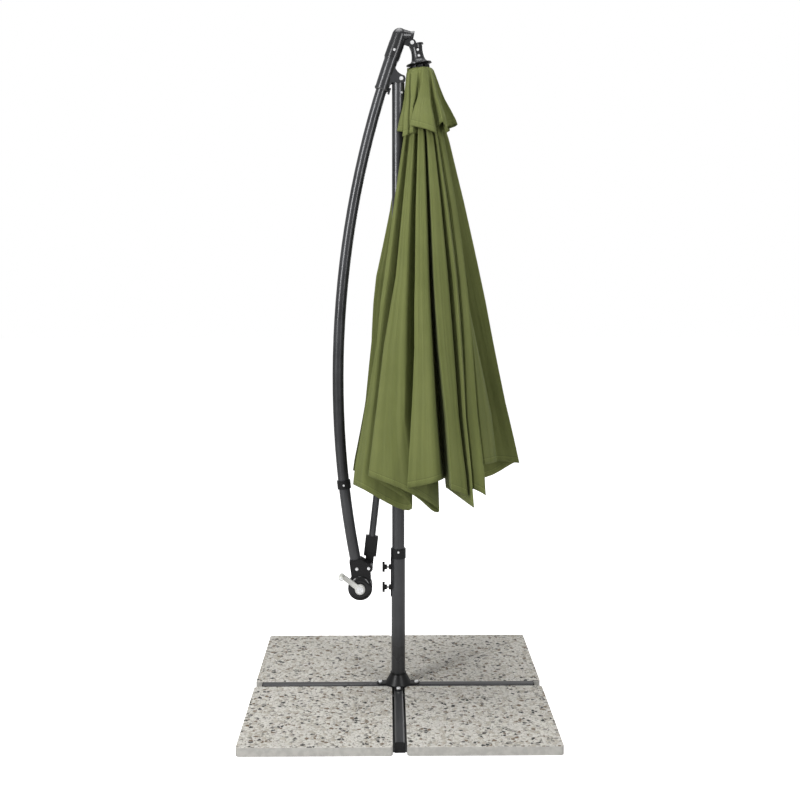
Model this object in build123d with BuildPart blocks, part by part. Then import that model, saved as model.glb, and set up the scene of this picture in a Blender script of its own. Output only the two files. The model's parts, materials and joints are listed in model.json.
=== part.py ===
from build123d import *
import os
from math import asin, cos, degrees, hypot, radians, sin, sqrt, tan

os.makedirs("parts", exist_ok=True)

# A 3 m cantilever umbrella on a slab-weighted cross foot, closed. Millimetres, +Z up.
# The origin is on the ground under the pole. The arm lies in the XZ plane on the -X side,
# the canopy hangs on the +X side, and the crank faces -Y.

# ---------------------------------------------------------------- fits
RUN = 0.08  # running clearance of a pin or shaft, radial
SEAT = 0.1  # clearance of a piece fixed in its seat
CLEAR = 0.3  # clearance between moving pieces that pass each other

# ---------------------------------------------------------------- base
SLAB = 500.0
SLAB_T = 30.0
SLAB_GAP = 45.0
SLAB_CORNER = 12.0
SLAB_EDGE = 2.5
FLANGE_T = 2.0
FLANGE_W = 30.0
CROSS_W = 33.0
CROSS_H = 34.6
CROSS_WALL = 2.0
CROSS_CORNER = 6.0
CROSS_REACH = 496.0
CROSS_START = 17.0
CAP_T = 4.0
CAP_SPIGOT = 22.0
PETAL_REACH = 78.0
PETAL_W = 34.0
PETAL_T = 4.0
CONE_BASE_R = 47.0
CONE_TOP_R = 28.8
CONE_RISE = 33.0
CONE_RIM = 5.0
FOOT_BOLT_AT = 66.0
FOOT_BOLT_R = 4.0
FOOT_BOLT_HEAD_R = 7.5
FOOT_BOLT_HEAD_T = 5.5
FOOT_BOLT_LENGTH = 20.0

# ---------------------------------------------------------------- pole
LOWER_POLE_R = 25.0
LOWER_POLE_WALL = 1.2
UPPER_POLE_R = 22.5
UPPER_POLE_WALL = 1.5
UPPER_POLE_TOP = 2203.0
UPPER_POLE_FOOT = 334.0
POLE_LAP = 186.0
LOWER_POLE_TOP = UPPER_POLE_FOOT + POLE_LAP
COLLAR_R = 27.5
COLLAR_LAP = 22.0
COLLAR_Z = LOWER_POLE_TOP - COLLAR_LAP
COLLAR_H = 35.0
SEAT_T = 12.0
SPIGOT_H = 8.0
BUSH_GAP = 1.0
BUSH_Z = UPPER_POLE_FOOT + SPIGOT_H + BUSH_GAP
BUSH_H = 26.0
KNOB_Z = (COLLAR_Z - 34.0, COLLAR_Z - 108.0)
KNOB_NAMES = ("upper", "lower")
STRIP_GAP = 1.0
STRIP_H = 140.0
STRIP_Z = COLLAR_Z - STRIP_GAP - STRIP_H
STRIP_W = 14.0
STRIP_T = 3.0
BOSS_R = 9.5
BOSS_X = 35.0
STUD_R = 4.0
KNOB_X = 58.0
KNOB_HEAD_T = 9.0
KNOB_HUB_X = 40.5
KNOB_HUB_R = 9.5
KNOB_CORE_R = 13.0
KNOB_LOBE_R = 5.5
KNOB_LOBE_AT = 13.5
KNOB_LOBES = 5

# ---------------------------------------------------------------- top hinge of the guide sleeve
SLEEVE_PIN = (10.8, 2221.0)
SLEEVE_PIN_R = 5.0
LUG_HALF = 10.4
LUG_R = 13.0
BRACKET_FLANGE_T = 2.5
BRACKET_FLANGE_R = 23.2
BRACKET_PLUG = 40.0
CHEEK_IN = 11.0
CHEEK_OUT = 16.0
CHEEK_R = 15.0
CHEEK_SHOULDER = 48.0
SEAT_STEP = 0.4
PIN_HEAD_R = 7.5
PIN_HEAD_T = 4.0

# ---------------------------------------------------------------- arm, one circular arc
ARC_CENTRE = (3284.0, 1144.7)
ARM_RADIUS = 3501.0
ARM_R = 20.0
ARM_WALL = 1.5
SLEEVE_LOW = 17.29
SLEEVE_LENGTH = 115.0
SLEEVE_R = 25.0
LINER_R = 22.0
LINER_RIM_R = 24.2
LINER_RIM_T = 3.0
SLEEVE_RIM_R = 26.5
SLEEVE_RIM_L = 5.0
GUARD_W = 16.0
GUARD_T = 7.0
GUARD_DROP = 10.0
GUARD_RISE = 12.0
JOINT_AT = -6.19
ARM_COLLAR_R = 24.5
ARM_COLLAR_L = 30.0
ARM_LOW = -11.25

# ---------------------------------------------------------------- elbow and crown
ELBOW_PIN = (49.3, 2346.6)
ELBOW_PIN_R = 4.0
ELBOW_R = 27.0
ELBOW_BORE = 18.0
ELBOW_SOCKET = 42.0
ELBOW_RIM_R = 28.2
ELBOW_RIM_L = 56.0
ELBOW_AXIS_Z = 2374.0
MOUTH_X = 45.0
MOUTH_R = 15.0
MOUTH_BORE = 10.0
LIP_R = 16.5
LIP_T = 2.5
LIP_TILT = 11.0
LIP_GAP = 8.0
SLOT_MARGIN = 8.0
ELBOW_LUG_IN = 4.5
ELBOW_LUG_OUT = 10.5
ELBOW_LUG_R = 12.5
PULLEY_R = 14.0
PULLEY_HALF = 4.0
CABLE_R = 1.25
CROWN_TILT = 9.6
CROWN_TOP = 20.0
CROWN_R = 22.5
CROWN_WAIST = 21.3
CROWN_FOOT = 44.0
DISC_R = 46.0
DISC_EDGE = 37.0
DISC_T = 2.5
BROW_TOP = 33.0
BROW_R = 27.5
BROW_FROM = 3.5
BROW_T = 3.5
CROWN_CHEEK_OUT = 17.0
CROWN_CHEEK_R = 13.0

# ---------------------------------------------------------------- crank housing
DRUM = (-138.0, 393.0)
DRUM_R = 44.0
HOUSING_HALF = 26.0
CAVITY_R = 36.0
CAVITY_HALF = 19.0
DOME_T = 9.0
DOME_LIP = 2.0
CABLE_DOOR_IN = 8.0
CABLE_DOOR_R = 7.0
BOLT_R = 3.0
BOLT_HEAD_R = 6.0
BOLT_HEAD_T = 3.5
STRUT_BOLT_END = 20.0
SMALL_SCREW_R = 2.0
SMALL_HEAD_R = 4.0
SMALL_HEAD_T = 2.5
DOME_TOP_R = 22.0
STRUT_PIN = (-107.2, 465.0)
EAR_R = 15.0
AXLE_R = 6.0
AXLE_BUSH_R = 9.0
SPOOL_CORE = 12.0
SPOOL_R = 33.0
SPOOL_HALF = 17.0
SPOOL_CHEEK = 4.0
HUB_R = 18.0
LEVER_LENGTH = 84.0
LEVER_ANGLE = 142.3
LEVER_ROOT_W = 19.0
LEVER_TIP_R = 8.0
LEVER_Y = -38.0
LEVER_T = 10.0
GRIP_R = 9.0
GRIP_L = 38.0
GRIP_PIN_R = 4.0
GRIP_HEAD_R = 6.5
GRIP_HEAD_T = 2.5

# ---------------------------------------------------------------- strut, beside the arm's plane
STRUT_PIVOT = (-15.0, 1285.0)
STRUT_Y = 43.0
STRUT_R = 12.5
STRUT_WALL = 1.2
CLAMP_R = 28.0
CLAMP_H = 46.0
CLAMP_BOSS_R = 13.0
CLAMP_BOSS_Y = 30.0
PIVOT_R = 5.0
PIVOT_HEAD_R = 8.0
PIVOT_HEAD_T = 2.5
PIVOT_NUT_R = 8.0
EYE_R = 16.0
EYE_L = 46.0
BOOT_W = 46.0
BOOT_L = 74.0
BOOT_D = 28.0
BOOT_FROM = 30.0
TONGUE_W = 30.0
TONGUE_T = 11.0
TONGUE_GAP = 0.6

# ---------------------------------------------------------------- canopy
WALL = 1.5
PLEATS = 16
RIB_W = 8.0
RIB_D = 10.0
RIB_WALL = 1.0
RIB_TOP_R = 29.0
RIB_FOOT_R = 84.5
RIB_TOP_Z = 2252.0
RIB_FOOT_Z = 800.0
HOLDER_R = 36.0
HOLDER_T = 14.0
RUNNER_Z = 1325.0
RUNNER_R = 30.0
STRETCHER_TOP_Z = 1790.0
STRETCHER_D = 5.0
# Levels of the folded cloth: height, axis x, ridge radius, valley radius,
# and how far the pole slot's floor reaches to the front and to the back.
# The vent's top ring: ridge radius, valley radius, the slot floor's x and its two reaches.
CANOPY_LEVELS = (
    (2240.0, 78.0, 41.0, 39.0, 12.0, 12.0),
    (2120.0, 85.5, 58.0, 44.5, 13.0, 14.0),
    (2000.0, 93.0, 87.0, 54.0, 16.0, 18.0),
    (1787.0, 100.0, 131.0, 60.5, 20.0, 26.0),
    (1425.0, 111.0, 199.0, 74.0, 24.0, 37.0),
    (1064.0, 126.0, 255.0, 87.0, 26.0, 46.0),
    (847.0, 134.0, 298.0, 97.0, 28.0, 50.0),
    (640.0, 140.0, 322.0, 102.0, 28.0, 50.0),
)
VENT_TOP_RING = (40.0, 39.0, -38.5, 10.0, 10.0)
VENT_LEVELS = (
    (2248.0, 77.5, 52.0, 48.0, 13.0, 13.0),
    (2215.0, 79.6, 68.0, 56.0, 16.0, 16.0),
    (2149.0, 83.7, 89.0, 66.0, 14.0, 14.0),
    (2077.0, 88.2, 118.0, 76.0, 12.0, 12.0),
    (2000.0, 93.0, 126.0, 82.0, 12.0, 12.0),
)
CANOPY_SLOT_X = 36.0
VENT_SLOT_X = 31.0
SLOT_FRONT_ANGLE = 199.5
SLOT_BACK_ANGLE = 155.0
HEM = ((-170.0, 796.0), (95.0, 736.0), (170.0, 738.0), (440.0, 862.0))
VENT_HEM = ((-40.0, 2046.0), (50.0, 2008.0), (150.0, 2012.0), (240.0, 2070.0))


# ---------------------------------------------------------------- places and planes
def polar(radius, angle):
    """A point at a radius and an angle in degrees."""
    return radius * cos(radians(angle)), radius * sin(radians(angle))


def arc_angle(length):
    """The arm angle that an arc length spans."""
    return degrees(length / ARM_RADIUS)


def arm_point(angle, radius=ARM_RADIUS):
    """The XZ point of the arm at an angle above the arc's centre."""
    return ARC_CENTRE[0] - radius * cos(radians(angle)), ARC_CENTRE[1] + radius * sin(radians(angle))


def arm_plane(angle, radius=ARM_RADIUS):
    """A plane across the arm, its normal up the arm and its x away from the arc's centre."""
    x, z = arm_point(angle, radius)
    out = Vector(-cos(radians(angle)), 0, sin(radians(angle)))
    return Plane(origin=(x, 0, z), x_dir=out, z_dir=(sin(radians(angle)), 0, cos(radians(angle))))


def front_plane(x, y, z):
    """A plane at a point that faces -Y, with its own y up."""
    return Plane(origin=(x, y, z), x_dir=(1, 0, 0), z_dir=(0, -1, 0))


ARC_AXIS = Axis((ARC_CENTRE[0], 0, ARC_CENTRE[1]), (0, 1, 0))
SLEEVE_HIGH = SLEEVE_LOW + arc_angle(SLEEVE_LENGTH)
ELBOW_LOW = SLEEVE_HIGH + arc_angle(CLEAR)
CROWN_UP = Vector(-sin(radians(CROWN_TILT)), 0, cos(radians(CROWN_TILT)))
CROWN_OUT = Vector(cos(radians(CROWN_TILT)), 0, sin(radians(CROWN_TILT)))
PULLEY_PITCH = 12.4
CROWN_DROP = 37.2
CROWN_ORIGIN = (
    Vector(ELBOW_PIN[0], 0, ELBOW_PIN[1]) + PULLEY_PITCH * CROWN_OUT - CROWN_DROP * CROWN_UP
)
STRUT_RUN = Vector(STRUT_PIN[0] - STRUT_PIVOT[0], 0, STRUT_PIN[1] - STRUT_PIVOT[1])
STRUT_DIR = STRUT_RUN.normalized()


def crown_plane(height):
    """A plane across the crown's own tilted axis."""
    return Plane(origin=CROWN_ORIGIN + height * CROWN_UP, x_dir=CROWN_OUT, z_dir=CROWN_UP)


def crown_section():
    """The plane through the crown's axis, facing -Y."""
    return Plane(origin=CROWN_ORIGIN, x_dir=CROWN_OUT, z_dir=(0, -1, 0))


def arc_tube(start, end, outer, inner=0.0, radius=ARM_RADIUS):
    """A tube that follows the arm's arc from one angle to another."""
    with BuildPart() as tube:
        with BuildSketch(arm_plane(start, radius)):
            Circle(outer)
            if inner:
                Circle(inner, mode=Mode.SUBTRACT)
        revolve(axis=ARC_AXIS, revolution_arc=end - start)
    return tube


def screw(tip, out, head_r, head_t, shank_r, shank_l):
    """A round-headed screw whose head stands on tip and points along out."""
    with BuildPart() as fastener:
        with BuildSketch(Plane(origin=tip, z_dir=out)):
            Circle(head_r)
        extrude(amount=head_t, taper=14)
        with BuildSketch(Plane(origin=tip, z_dir=out)):
            Circle(shank_r)
        extrude(amount=-shank_l)
    return fastener


# ---------------------------------------------------------------- base
ARM_SIDES = {"right": 0, "back": 90, "left": 180, "front": 270}
CROSS_INNER_H = CROSS_H - CROSS_WALL
for side, turn in ARM_SIDES.items():
    along = Vector(*polar(1, turn), 0)
    across = Vector(*polar(1, turn + 90), 0)
    with BuildPart() as base_arm:
        with BuildSketch(Plane(origin=CROSS_START * along, x_dir=across, z_dir=along)) as hat:
            Rectangle(CROSS_W, CROSS_H, align=(Align.CENTER, Align.MIN))
            fillet(hat.vertices().group_by(Axis.Y)[-1], CROSS_CORNER)
            Rectangle(
                CROSS_W - 2 * CROSS_WALL,
                CROSS_INNER_H,
                align=(Align.CENTER, Align.MIN),
                mode=Mode.SUBTRACT,
            )
        extrude(amount=CROSS_REACH - CAP_T - CROSS_START)
        flange_start = CROSS_W / 2 + FLANGE_W + SEAT
        with BuildSketch(Plane(origin=flange_start * along, x_dir=across, z_dir=along)):
            for lean in (-1, 1):
                with Locations((lean * (CROSS_W + FLANGE_W) / 2, FLANGE_T / 2)):
                    Rectangle(FLANGE_W, FLANGE_T)
        extrude(amount=CROSS_REACH - CAP_T - flange_start)
        with Locations(Plane(origin=FOOT_BOLT_AT * along + Vector(0, 0, CROSS_H))):
            Hole(FOOT_BOLT_R + SEAT, depth=2 * CROSS_WALL)
    base_arm.part.label = f"base_arm_{side}"
    export_step(base_arm.part, f"parts/base_arm_{side}.step")

with BuildPart() as base_arm_caps:
    for turn in ARM_SIDES.values():
        along = Vector(*polar(1, turn), 0)
        across = Vector(*polar(1, turn + 90), 0)
        with BuildSketch(Plane(origin=(CROSS_REACH - CAP_T) * along, x_dir=across, z_dir=along)) as face:
            Rectangle(CROSS_W, CROSS_H, align=(Align.CENTER, Align.MIN))
            fillet(face.vertices().group_by(Axis.Y)[-1], CROSS_CORNER)
        extrude(amount=CAP_T)
        with BuildSketch(Plane(origin=(CROSS_REACH - CAP_T) * along, x_dir=across, z_dir=along)):
            with Locations((0, FLANGE_T)):
                Rectangle(CROSS_W - 2 * CROSS_WALL - 2 * SEAT, CROSS_INNER_H - FLANGE_T - SEAT,
                          align=(Align.CENTER, Align.MIN))
        extrude(amount=-CAP_SPIGOT)
base_arm_caps.part.label = "base_arm_caps"
export_step(base_arm_caps.part, "parts/base_arm_caps.step")

SLAB_AT = (SLAB_GAP + SLAB) / 2
for row, sy in (("front", -1), ("back", 1)):
    for column, sx in (("left", -1), ("right", 1)):
        with BuildPart() as slab:
            with BuildSketch(Plane(origin=(sx * SLAB_AT, sy * SLAB_AT, FLANGE_T))):
                RectangleRounded(SLAB, SLAB, SLAB_CORNER)
            extrude(amount=SLAB_T)
            fillet(slab.faces().sort_by(Axis.Z)[-1].edges(), SLAB_EDGE)
        slab.part.label = f"slab_{row}_{column}"
        export_step(slab.part, f"parts/slab_{row}_{column}.step")

CONE_FOOT_Z = CROSS_H + PETAL_T
with BuildPart() as pole_foot:
    with BuildSketch(Plane.XY.offset(CROSS_H)):
        for turn in (0, 90):
            with Locations(Rotation(0, 0, turn)):
                RectangleRounded(2 * PETAL_REACH, PETAL_W, PETAL_W / 2 - 1)
        Circle(CONE_BASE_R)
    extrude(amount=PETAL_T)
    with BuildSketch(Plane.XZ):
        with BuildLine():
            Polyline(
                (0, CONE_FOOT_Z),
                (CONE_BASE_R, CONE_FOOT_Z),
                (CONE_TOP_R, CONE_FOOT_Z + CONE_RISE),
                (CONE_TOP_R, CONE_FOOT_Z + CONE_RISE + CONE_RIM),
                (0, CONE_FOOT_Z + CONE_RISE + CONE_RIM),
                close=True,
            )
        make_face()
    revolve(axis=Axis.Z)
    with BuildSketch(Plane.XY.offset(CROSS_H)):
        Circle(LOWER_POLE_R + SEAT)
    extrude(amount=PETAL_T + CONE_RISE + CONE_RIM, mode=Mode.SUBTRACT)
    with Locations(Plane.XY.offset(CROSS_H + PETAL_T)):
        with PolarLocations(FOOT_BOLT_AT, len(ARM_SIDES)):
            Hole(FOOT_BOLT_R + SEAT, depth=PETAL_T)
pole_foot.part.label = "pole_foot"
export_step(pole_foot.part, "parts/pole_foot.step")

with BuildPart() as foot_bolts:
    for level, radius, height in (
        (0, FOOT_BOLT_HEAD_R, FOOT_BOLT_HEAD_T),
        (1, FOOT_BOLT_R, -FOOT_BOLT_LENGTH),
    ):
        with BuildSketch(Plane.XY.offset(CROSS_H + PETAL_T)):
            with PolarLocations(FOOT_BOLT_AT, len(ARM_SIDES)):
                Circle(radius)
        extrude(amount=height)
    fillet(foot_bolts.faces().sort_by(Axis.Z)[-4:].edges(), 2)
foot_bolts.part.label = "foot_bolts"
export_step(foot_bolts.part, "parts/foot_bolts.step")

with BuildPart() as lower_pole:
    with BuildSketch(Plane.XY.offset(CROSS_H)):
        Circle(LOWER_POLE_R)
        Circle(LOWER_POLE_R - LOWER_POLE_WALL, mode=Mode.SUBTRACT)
    extrude(amount=LOWER_POLE_TOP - CROSS_H)
    for height in KNOB_Z:
        with BuildSketch(Plane(origin=(0, 0, height), z_dir=(-1, 0, 0))):
            Circle(STUD_R + SEAT)
        extrude(amount=LOWER_POLE_R + SEAT, mode=Mode.SUBTRACT)
lower_pole.part.label = "lower_pole"
export_step(lower_pole.part, "parts/lower_pole.step")

COLLAR_SCREW_Z = 524.0
with BuildPart() as pole_collar:
    with BuildSketch(Plane.XZ):
        with BuildLine():
            Polyline(
                (LOWER_POLE_R + SEAT, COLLAR_Z),
                (COLLAR_R, COLLAR_Z),
                (COLLAR_R, COLLAR_Z + COLLAR_H),
                (UPPER_POLE_R + CLEAR, COLLAR_Z + COLLAR_H),
                (UPPER_POLE_R + CLEAR, LOWER_POLE_TOP + SEAT),
                (LOWER_POLE_R + SEAT, LOWER_POLE_TOP + SEAT),
                close=True,
            )
        make_face()
    revolve(axis=Axis.Z)
    chamfer(pole_collar.faces().sort_by(Axis.Z)[-1].outer_wire().edges(), 1.2)
    with BuildSketch(front_plane(0, -COLLAR_R, COLLAR_SCREW_Z)):
        Circle(2 + SEAT)
    extrude(amount=-(COLLAR_R - UPPER_POLE_R), mode=Mode.SUBTRACT)
pole_collar.part.label = "pole_collar"
export_step(pole_collar.part, "parts/pole_collar.step")

pole_collar_screw = screw(
    (0, -COLLAR_R, COLLAR_SCREW_Z),
    (0, -1, 0),
    SMALL_HEAD_R,
    SMALL_HEAD_T,
    SMALL_SCREW_R,
    COLLAR_R - UPPER_POLE_R - 2 * CLEAR,
)
pole_collar_screw.part.label = "pole_collar_screw"
export_step(pole_collar_screw.part, "parts/pole_collar_screw.step")

LOWER_BORE = LOWER_POLE_R - LOWER_POLE_WALL
UPPER_BORE = UPPER_POLE_R - UPPER_POLE_WALL
with BuildPart() as swivel_seat:
    with BuildSketch(Plane.XY.offset(UPPER_POLE_FOOT - CLEAR - SEAT_T)):
        Circle(LOWER_BORE - SEAT / 2)
    extrude(amount=SEAT_T)
    with BuildSketch(Plane.XY.offset(UPPER_POLE_FOOT - CLEAR)):
        Circle(UPPER_BORE - CLEAR)
    extrude(amount=SPIGOT_H)
swivel_seat.part.label = "swivel_seat"
export_step(swivel_seat.part, "parts/swivel_seat.step")

with BuildPart() as swivel_bush:
    with BuildSketch(Plane.XY.offset(BUSH_Z)):
        Circle(LOWER_BORE - SEAT / 2)
        Circle(UPPER_POLE_R + CLEAR, mode=Mode.SUBTRACT)
    extrude(amount=BUSH_H)
swivel_bush.part.label = "swivel_bush"
export_step(swivel_bush.part, "parts/swivel_bush.step")

with BuildPart() as knob_strip:
    with BuildSketch(Plane.XY.offset(STRIP_Z)):
        with Locations((-LOWER_POLE_R, 0)):
            Rectangle(2 * STRIP_T, STRIP_W)
    extrude(amount=STRIP_H)
    for height in KNOB_Z:
        with BuildSketch(Plane(origin=(-LOWER_POLE_R, 0, height), z_dir=(-1, 0, 0))):
            Circle(BOSS_R)
        extrude(amount=BOSS_X - LOWER_POLE_R)
    with BuildSketch(Plane.XY.offset(STRIP_Z)):
        Circle(LOWER_POLE_R + SEAT)
    extrude(amount=STRIP_H, mode=Mode.SUBTRACT)
    for height in KNOB_Z:
        with BuildSketch(Plane(origin=(0, 0, height), z_dir=(-1, 0, 0))):
            Circle(STUD_R + RUN)
        extrude(amount=BOSS_X + 1, mode=Mode.SUBTRACT)
knob_strip.part.label = "knob_strip"
export_step(knob_strip.part, "parts/knob_strip.step")

# ---------------------------------------------------------------- lock knobs
STUD_IN = 10.0
for label, height in zip(KNOB_NAMES, KNOB_Z):
    with BuildPart() as knob:
        with BuildSketch(Plane(origin=(-KNOB_X, 0, height), z_dir=(1, 0, 0))):
            Circle(KNOB_CORE_R)
            with PolarLocations(KNOB_LOBE_AT, KNOB_LOBES):
                Circle(KNOB_LOBE_R)
        extrude(amount=KNOB_HEAD_T)
        fillet(knob.faces().sort_by(Axis.X)[0].edges(), 1.5)
        with BuildSketch(Plane(origin=(KNOB_HEAD_T - KNOB_X, 0, height), z_dir=(1, 0, 0))):
            Circle(KNOB_HUB_R)
        extrude(amount=KNOB_X - KNOB_HEAD_T - KNOB_HUB_X, taper=6)
        with BuildSketch(Plane(origin=(-KNOB_HUB_X, 0, height), z_dir=(-1, 0, 0))):
            Circle(STUD_R)
        extrude(amount=STUD_IN, mode=Mode.SUBTRACT)
    knob.part.label = f"lock_knob_{label}"
    export_step(knob.part, f"parts/lock_knob_{label}.step")
    with BuildPart() as stud:
        with BuildSketch(Plane(origin=(-UPPER_POLE_R - CLEAR, 0, height), z_dir=(-1, 0, 0))):
            Circle(STUD_R)
        extrude(amount=KNOB_HUB_X + STUD_IN - UPPER_POLE_R - CLEAR)
    stud.part.label = f"lock_stud_{label}"
    export_step(stud.part, f"parts/lock_stud_{label}.step")

# ---------------------------------------------------------------- mast
with BuildPart() as upper_pole:
    with BuildSketch(Plane.XY.offset(UPPER_POLE_FOOT)):
        Circle(UPPER_POLE_R)
        Circle(UPPER_BORE, mode=Mode.SUBTRACT)
    extrude(amount=UPPER_POLE_TOP - UPPER_POLE_FOOT)
    with BuildSketch(front_plane(STRUT_PIVOT[0], 0, STRUT_PIVOT[1])):
        Circle(PIVOT_R + SEAT)
    extrude(amount=LOWER_POLE_R, both=True, mode=Mode.SUBTRACT)
upper_pole.part.label = "upper_pole"
export_step(upper_pole.part, "parts/upper_pole.step")

BRACKET_TOP = UPPER_POLE_TOP + BRACKET_FLANGE_T
with BuildPart() as pole_top_bracket:
    with BuildSketch(Plane.XY.offset(UPPER_POLE_TOP - BRACKET_PLUG)):
        Circle(UPPER_BORE - SEAT)
    extrude(amount=BRACKET_PLUG)
    with BuildSketch(Plane.XY.offset(UPPER_POLE_TOP)):
        Circle(BRACKET_FLANGE_R)
    extrude(amount=BRACKET_FLANGE_T)
    with BuildSketch(front_plane(0, 0, 0)):
        with Locations(SLEEVE_PIN):
            Circle(LUG_R)
        with Locations(((BRACKET_FLANGE_R - LUG_R) / 2, BRACKET_TOP - BRACKET_FLANGE_T / 2)):
            Rectangle(BRACKET_FLANGE_R + LUG_R / 2, BRACKET_FLANGE_T)
        make_hull()
    extrude(amount=LUG_HALF, both=True)
    with BuildSketch(front_plane(SLEEVE_PIN[0], 0, SLEEVE_PIN[1])):
        Circle(SLEEVE_PIN_R)
    extrude(amount=LUG_HALF, both=True, mode=Mode.SUBTRACT)
pole_top_bracket.part.label = "pole_top_bracket"
export_step(pole_top_bracket.part, "parts/pole_top_bracket.step")

TOP_SCREW_Z = 2171.0
TOP_SCREW_ANGLES = (-58, 122)
with BuildPart() as pole_top_screws:
    for angle in TOP_SCREW_ANGLES:
        out = Vector(*polar(1, angle), 0)
        with BuildSketch(Plane(origin=UPPER_POLE_R * out + Vector(0, 0, TOP_SCREW_Z), z_dir=out)):
            Circle(4)
        extrude(amount=2.5, taper=14)
pole_top_screws.part.label = "pole_top_screws"
export_step(pole_top_screws.part, "parts/pole_top_screws.step")

with BuildPart() as sleeve_pin:
    with BuildSketch(front_plane(SLEEVE_PIN[0], 0, SLEEVE_PIN[1])):
        Circle(SLEEVE_PIN_R)
    extrude(amount=CHEEK_OUT + CLEAR, both=True)
    for lean in (-1, 1):
        end = (SLEEVE_PIN[0], lean * (CHEEK_OUT + CLEAR), SLEEVE_PIN[1])
        with BuildSketch(Plane(origin=end, z_dir=(0, lean, 0))):
            Circle(PIN_HEAD_R)
        extrude(amount=PIN_HEAD_T, taper=14)
sleeve_pin.part.label = "sleeve_pin"
export_step(sleeve_pin.part, "parts/sleeve_pin.step")

with BuildPart() as strut_clamp:
    with BuildSketch(Plane.XY.offset(STRUT_PIVOT[1] - CLAMP_H / 2)):
        Circle(CLAMP_R)
    extrude(amount=CLAMP_H)
    with BuildSketch(Plane(origin=(STRUT_PIVOT[0], 0, STRUT_PIVOT[1]), z_dir=(0, 1, 0))):
        Circle(CLAMP_BOSS_R)
    extrude(amount=CLAMP_BOSS_Y)
    with BuildSketch(Plane.XY.offset(STRUT_PIVOT[1] - CLAMP_H / 2)):
        Circle(UPPER_POLE_R + SEAT / 2)
    extrude(amount=CLAMP_H, mode=Mode.SUBTRACT)
    with BuildSketch(front_plane(STRUT_PIVOT[0], 0, STRUT_PIVOT[1])):
        Circle(PIVOT_R + SEAT / 2)
    extrude(amount=CLAMP_BOSS_Y + 1, both=True, mode=Mode.SUBTRACT)
strut_clamp.part.label = "strut_clamp"
export_step(strut_clamp.part, "parts/strut_clamp.step")

EYE_OUT = STRUT_Y + STRUT_R
NUT_T = 5.0
with BuildPart() as strut_pivot_bolt:
    with BuildSketch(Plane(origin=(STRUT_PIVOT[0], -CLAMP_R, STRUT_PIVOT[1]), z_dir=(0, 1, 0))):
        Circle(PIVOT_R)
    extrude(amount=CLAMP_R + EYE_OUT + CLEAR)
    with BuildSketch(Plane(origin=(STRUT_PIVOT[0], EYE_OUT + CLEAR, STRUT_PIVOT[1]), z_dir=(0, 1, 0))):
        Circle(PIVOT_HEAD_R)
    extrude(amount=PIVOT_HEAD_T, taper=12)
    with BuildSketch(front_plane(STRUT_PIVOT[0], -CLAMP_R, STRUT_PIVOT[1])):
        RegularPolygon(PIVOT_NUT_R, 6)
    extrude(amount=NUT_T)
strut_pivot_bolt.part.label = "strut_pivot_bolt"
export_step(strut_pivot_bolt.part, "parts/strut_pivot_bolt.step")

# ---------------------------------------------------------------- guide sleeve
with BuildPart() as guide_sleeve:
    with BuildSketch(arm_plane(SLEEVE_LOW)):
        Circle(SLEEVE_R)
    revolve(axis=ARC_AXIS, revolution_arc=SLEEVE_HIGH - SLEEVE_LOW)
    sleeve_mid = arm_point((SLEEVE_LOW + SLEEVE_HIGH) / 2)
    cheek_floor = SLEEVE_PIN[1] - CHEEK_R
    for inner in (CHEEK_IN, -CHEEK_OUT):
        with BuildSketch(Plane(origin=(0, inner, 0), x_dir=(1, 0, 0), z_dir=(0, -1, 0))) as cheek:
            with BuildLine():
                top = arm_point(SLEEVE_HIGH - arc_angle(24))
                low = arm_point(SLEEVE_LOW + arc_angle(6))
                shoulder = (
                    SLEEVE_PIN[0] + CHEEK_R * cos(radians(CHEEK_SHOULDER)),
                    SLEEVE_PIN[1] + CHEEK_R * sin(radians(CHEEK_SHOULDER)),
                )
                ThreePointArc((top[0] + 18, top[1] - 6), (SLEEVE_PIN[0] - 14, SLEEVE_PIN[1] + 26), shoulder)
                ThreePointArc(
                    shoulder,
                    (SLEEVE_PIN[0] + CHEEK_R, SLEEVE_PIN[1]),
                    (SLEEVE_PIN[0], cheek_floor),
                )
                Polyline(
                    (SLEEVE_PIN[0], cheek_floor),
                    (-UPPER_POLE_R, cheek_floor + SEAT_STEP),
                    (low[0] + 18, low[1]),
                    low,
                    top,
                    (top[0] + 18, top[1] - 6),
                )
            make_face()
        extrude(amount=-(CHEEK_OUT - CHEEK_IN))
    for rim in (SLEEVE_LOW, SLEEVE_HIGH - arc_angle(SLEEVE_RIM_L)):
        with BuildSketch(arm_plane(rim)):
            Circle(SLEEVE_RIM_R)
        revolve(axis=ARC_AXIS, revolution_arc=arc_angle(SLEEVE_RIM_L))
    with BuildSketch(arm_plane(SLEEVE_LOW - arc_angle(GUARD_DROP))):
        with Locations((1 - SLEEVE_R, 0)):
            Rectangle(GUARD_T, GUARD_W, align=(Align.MAX, Align.CENTER))
    revolve(axis=ARC_AXIS, revolution_arc=arc_angle(GUARD_DROP + GUARD_RISE))
    with BuildSketch(arm_plane(SLEEVE_LOW - arc_angle(1))):
        Circle(LINER_R)
    revolve(axis=ARC_AXIS, revolution_arc=arc_angle(SLEEVE_LENGTH + 2), mode=Mode.SUBTRACT)
    with BuildSketch(arm_plane(SLEEVE_LOW - arc_angle(20))):
        Circle(ARM_COLLAR_R + CLEAR)
    revolve(axis=ARC_AXIS, revolution_arc=arc_angle(20), mode=Mode.SUBTRACT)
    with BuildSketch(front_plane(SLEEVE_PIN[0], 0, SLEEVE_PIN[1])):
        Circle(SLEEVE_PIN_R + RUN)
    extrude(amount=CHEEK_OUT, both=True, mode=Mode.SUBTRACT)
guide_sleeve.part.label = "guide_sleeve"
export_step(guide_sleeve.part, "parts/guide_sleeve.step")

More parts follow.
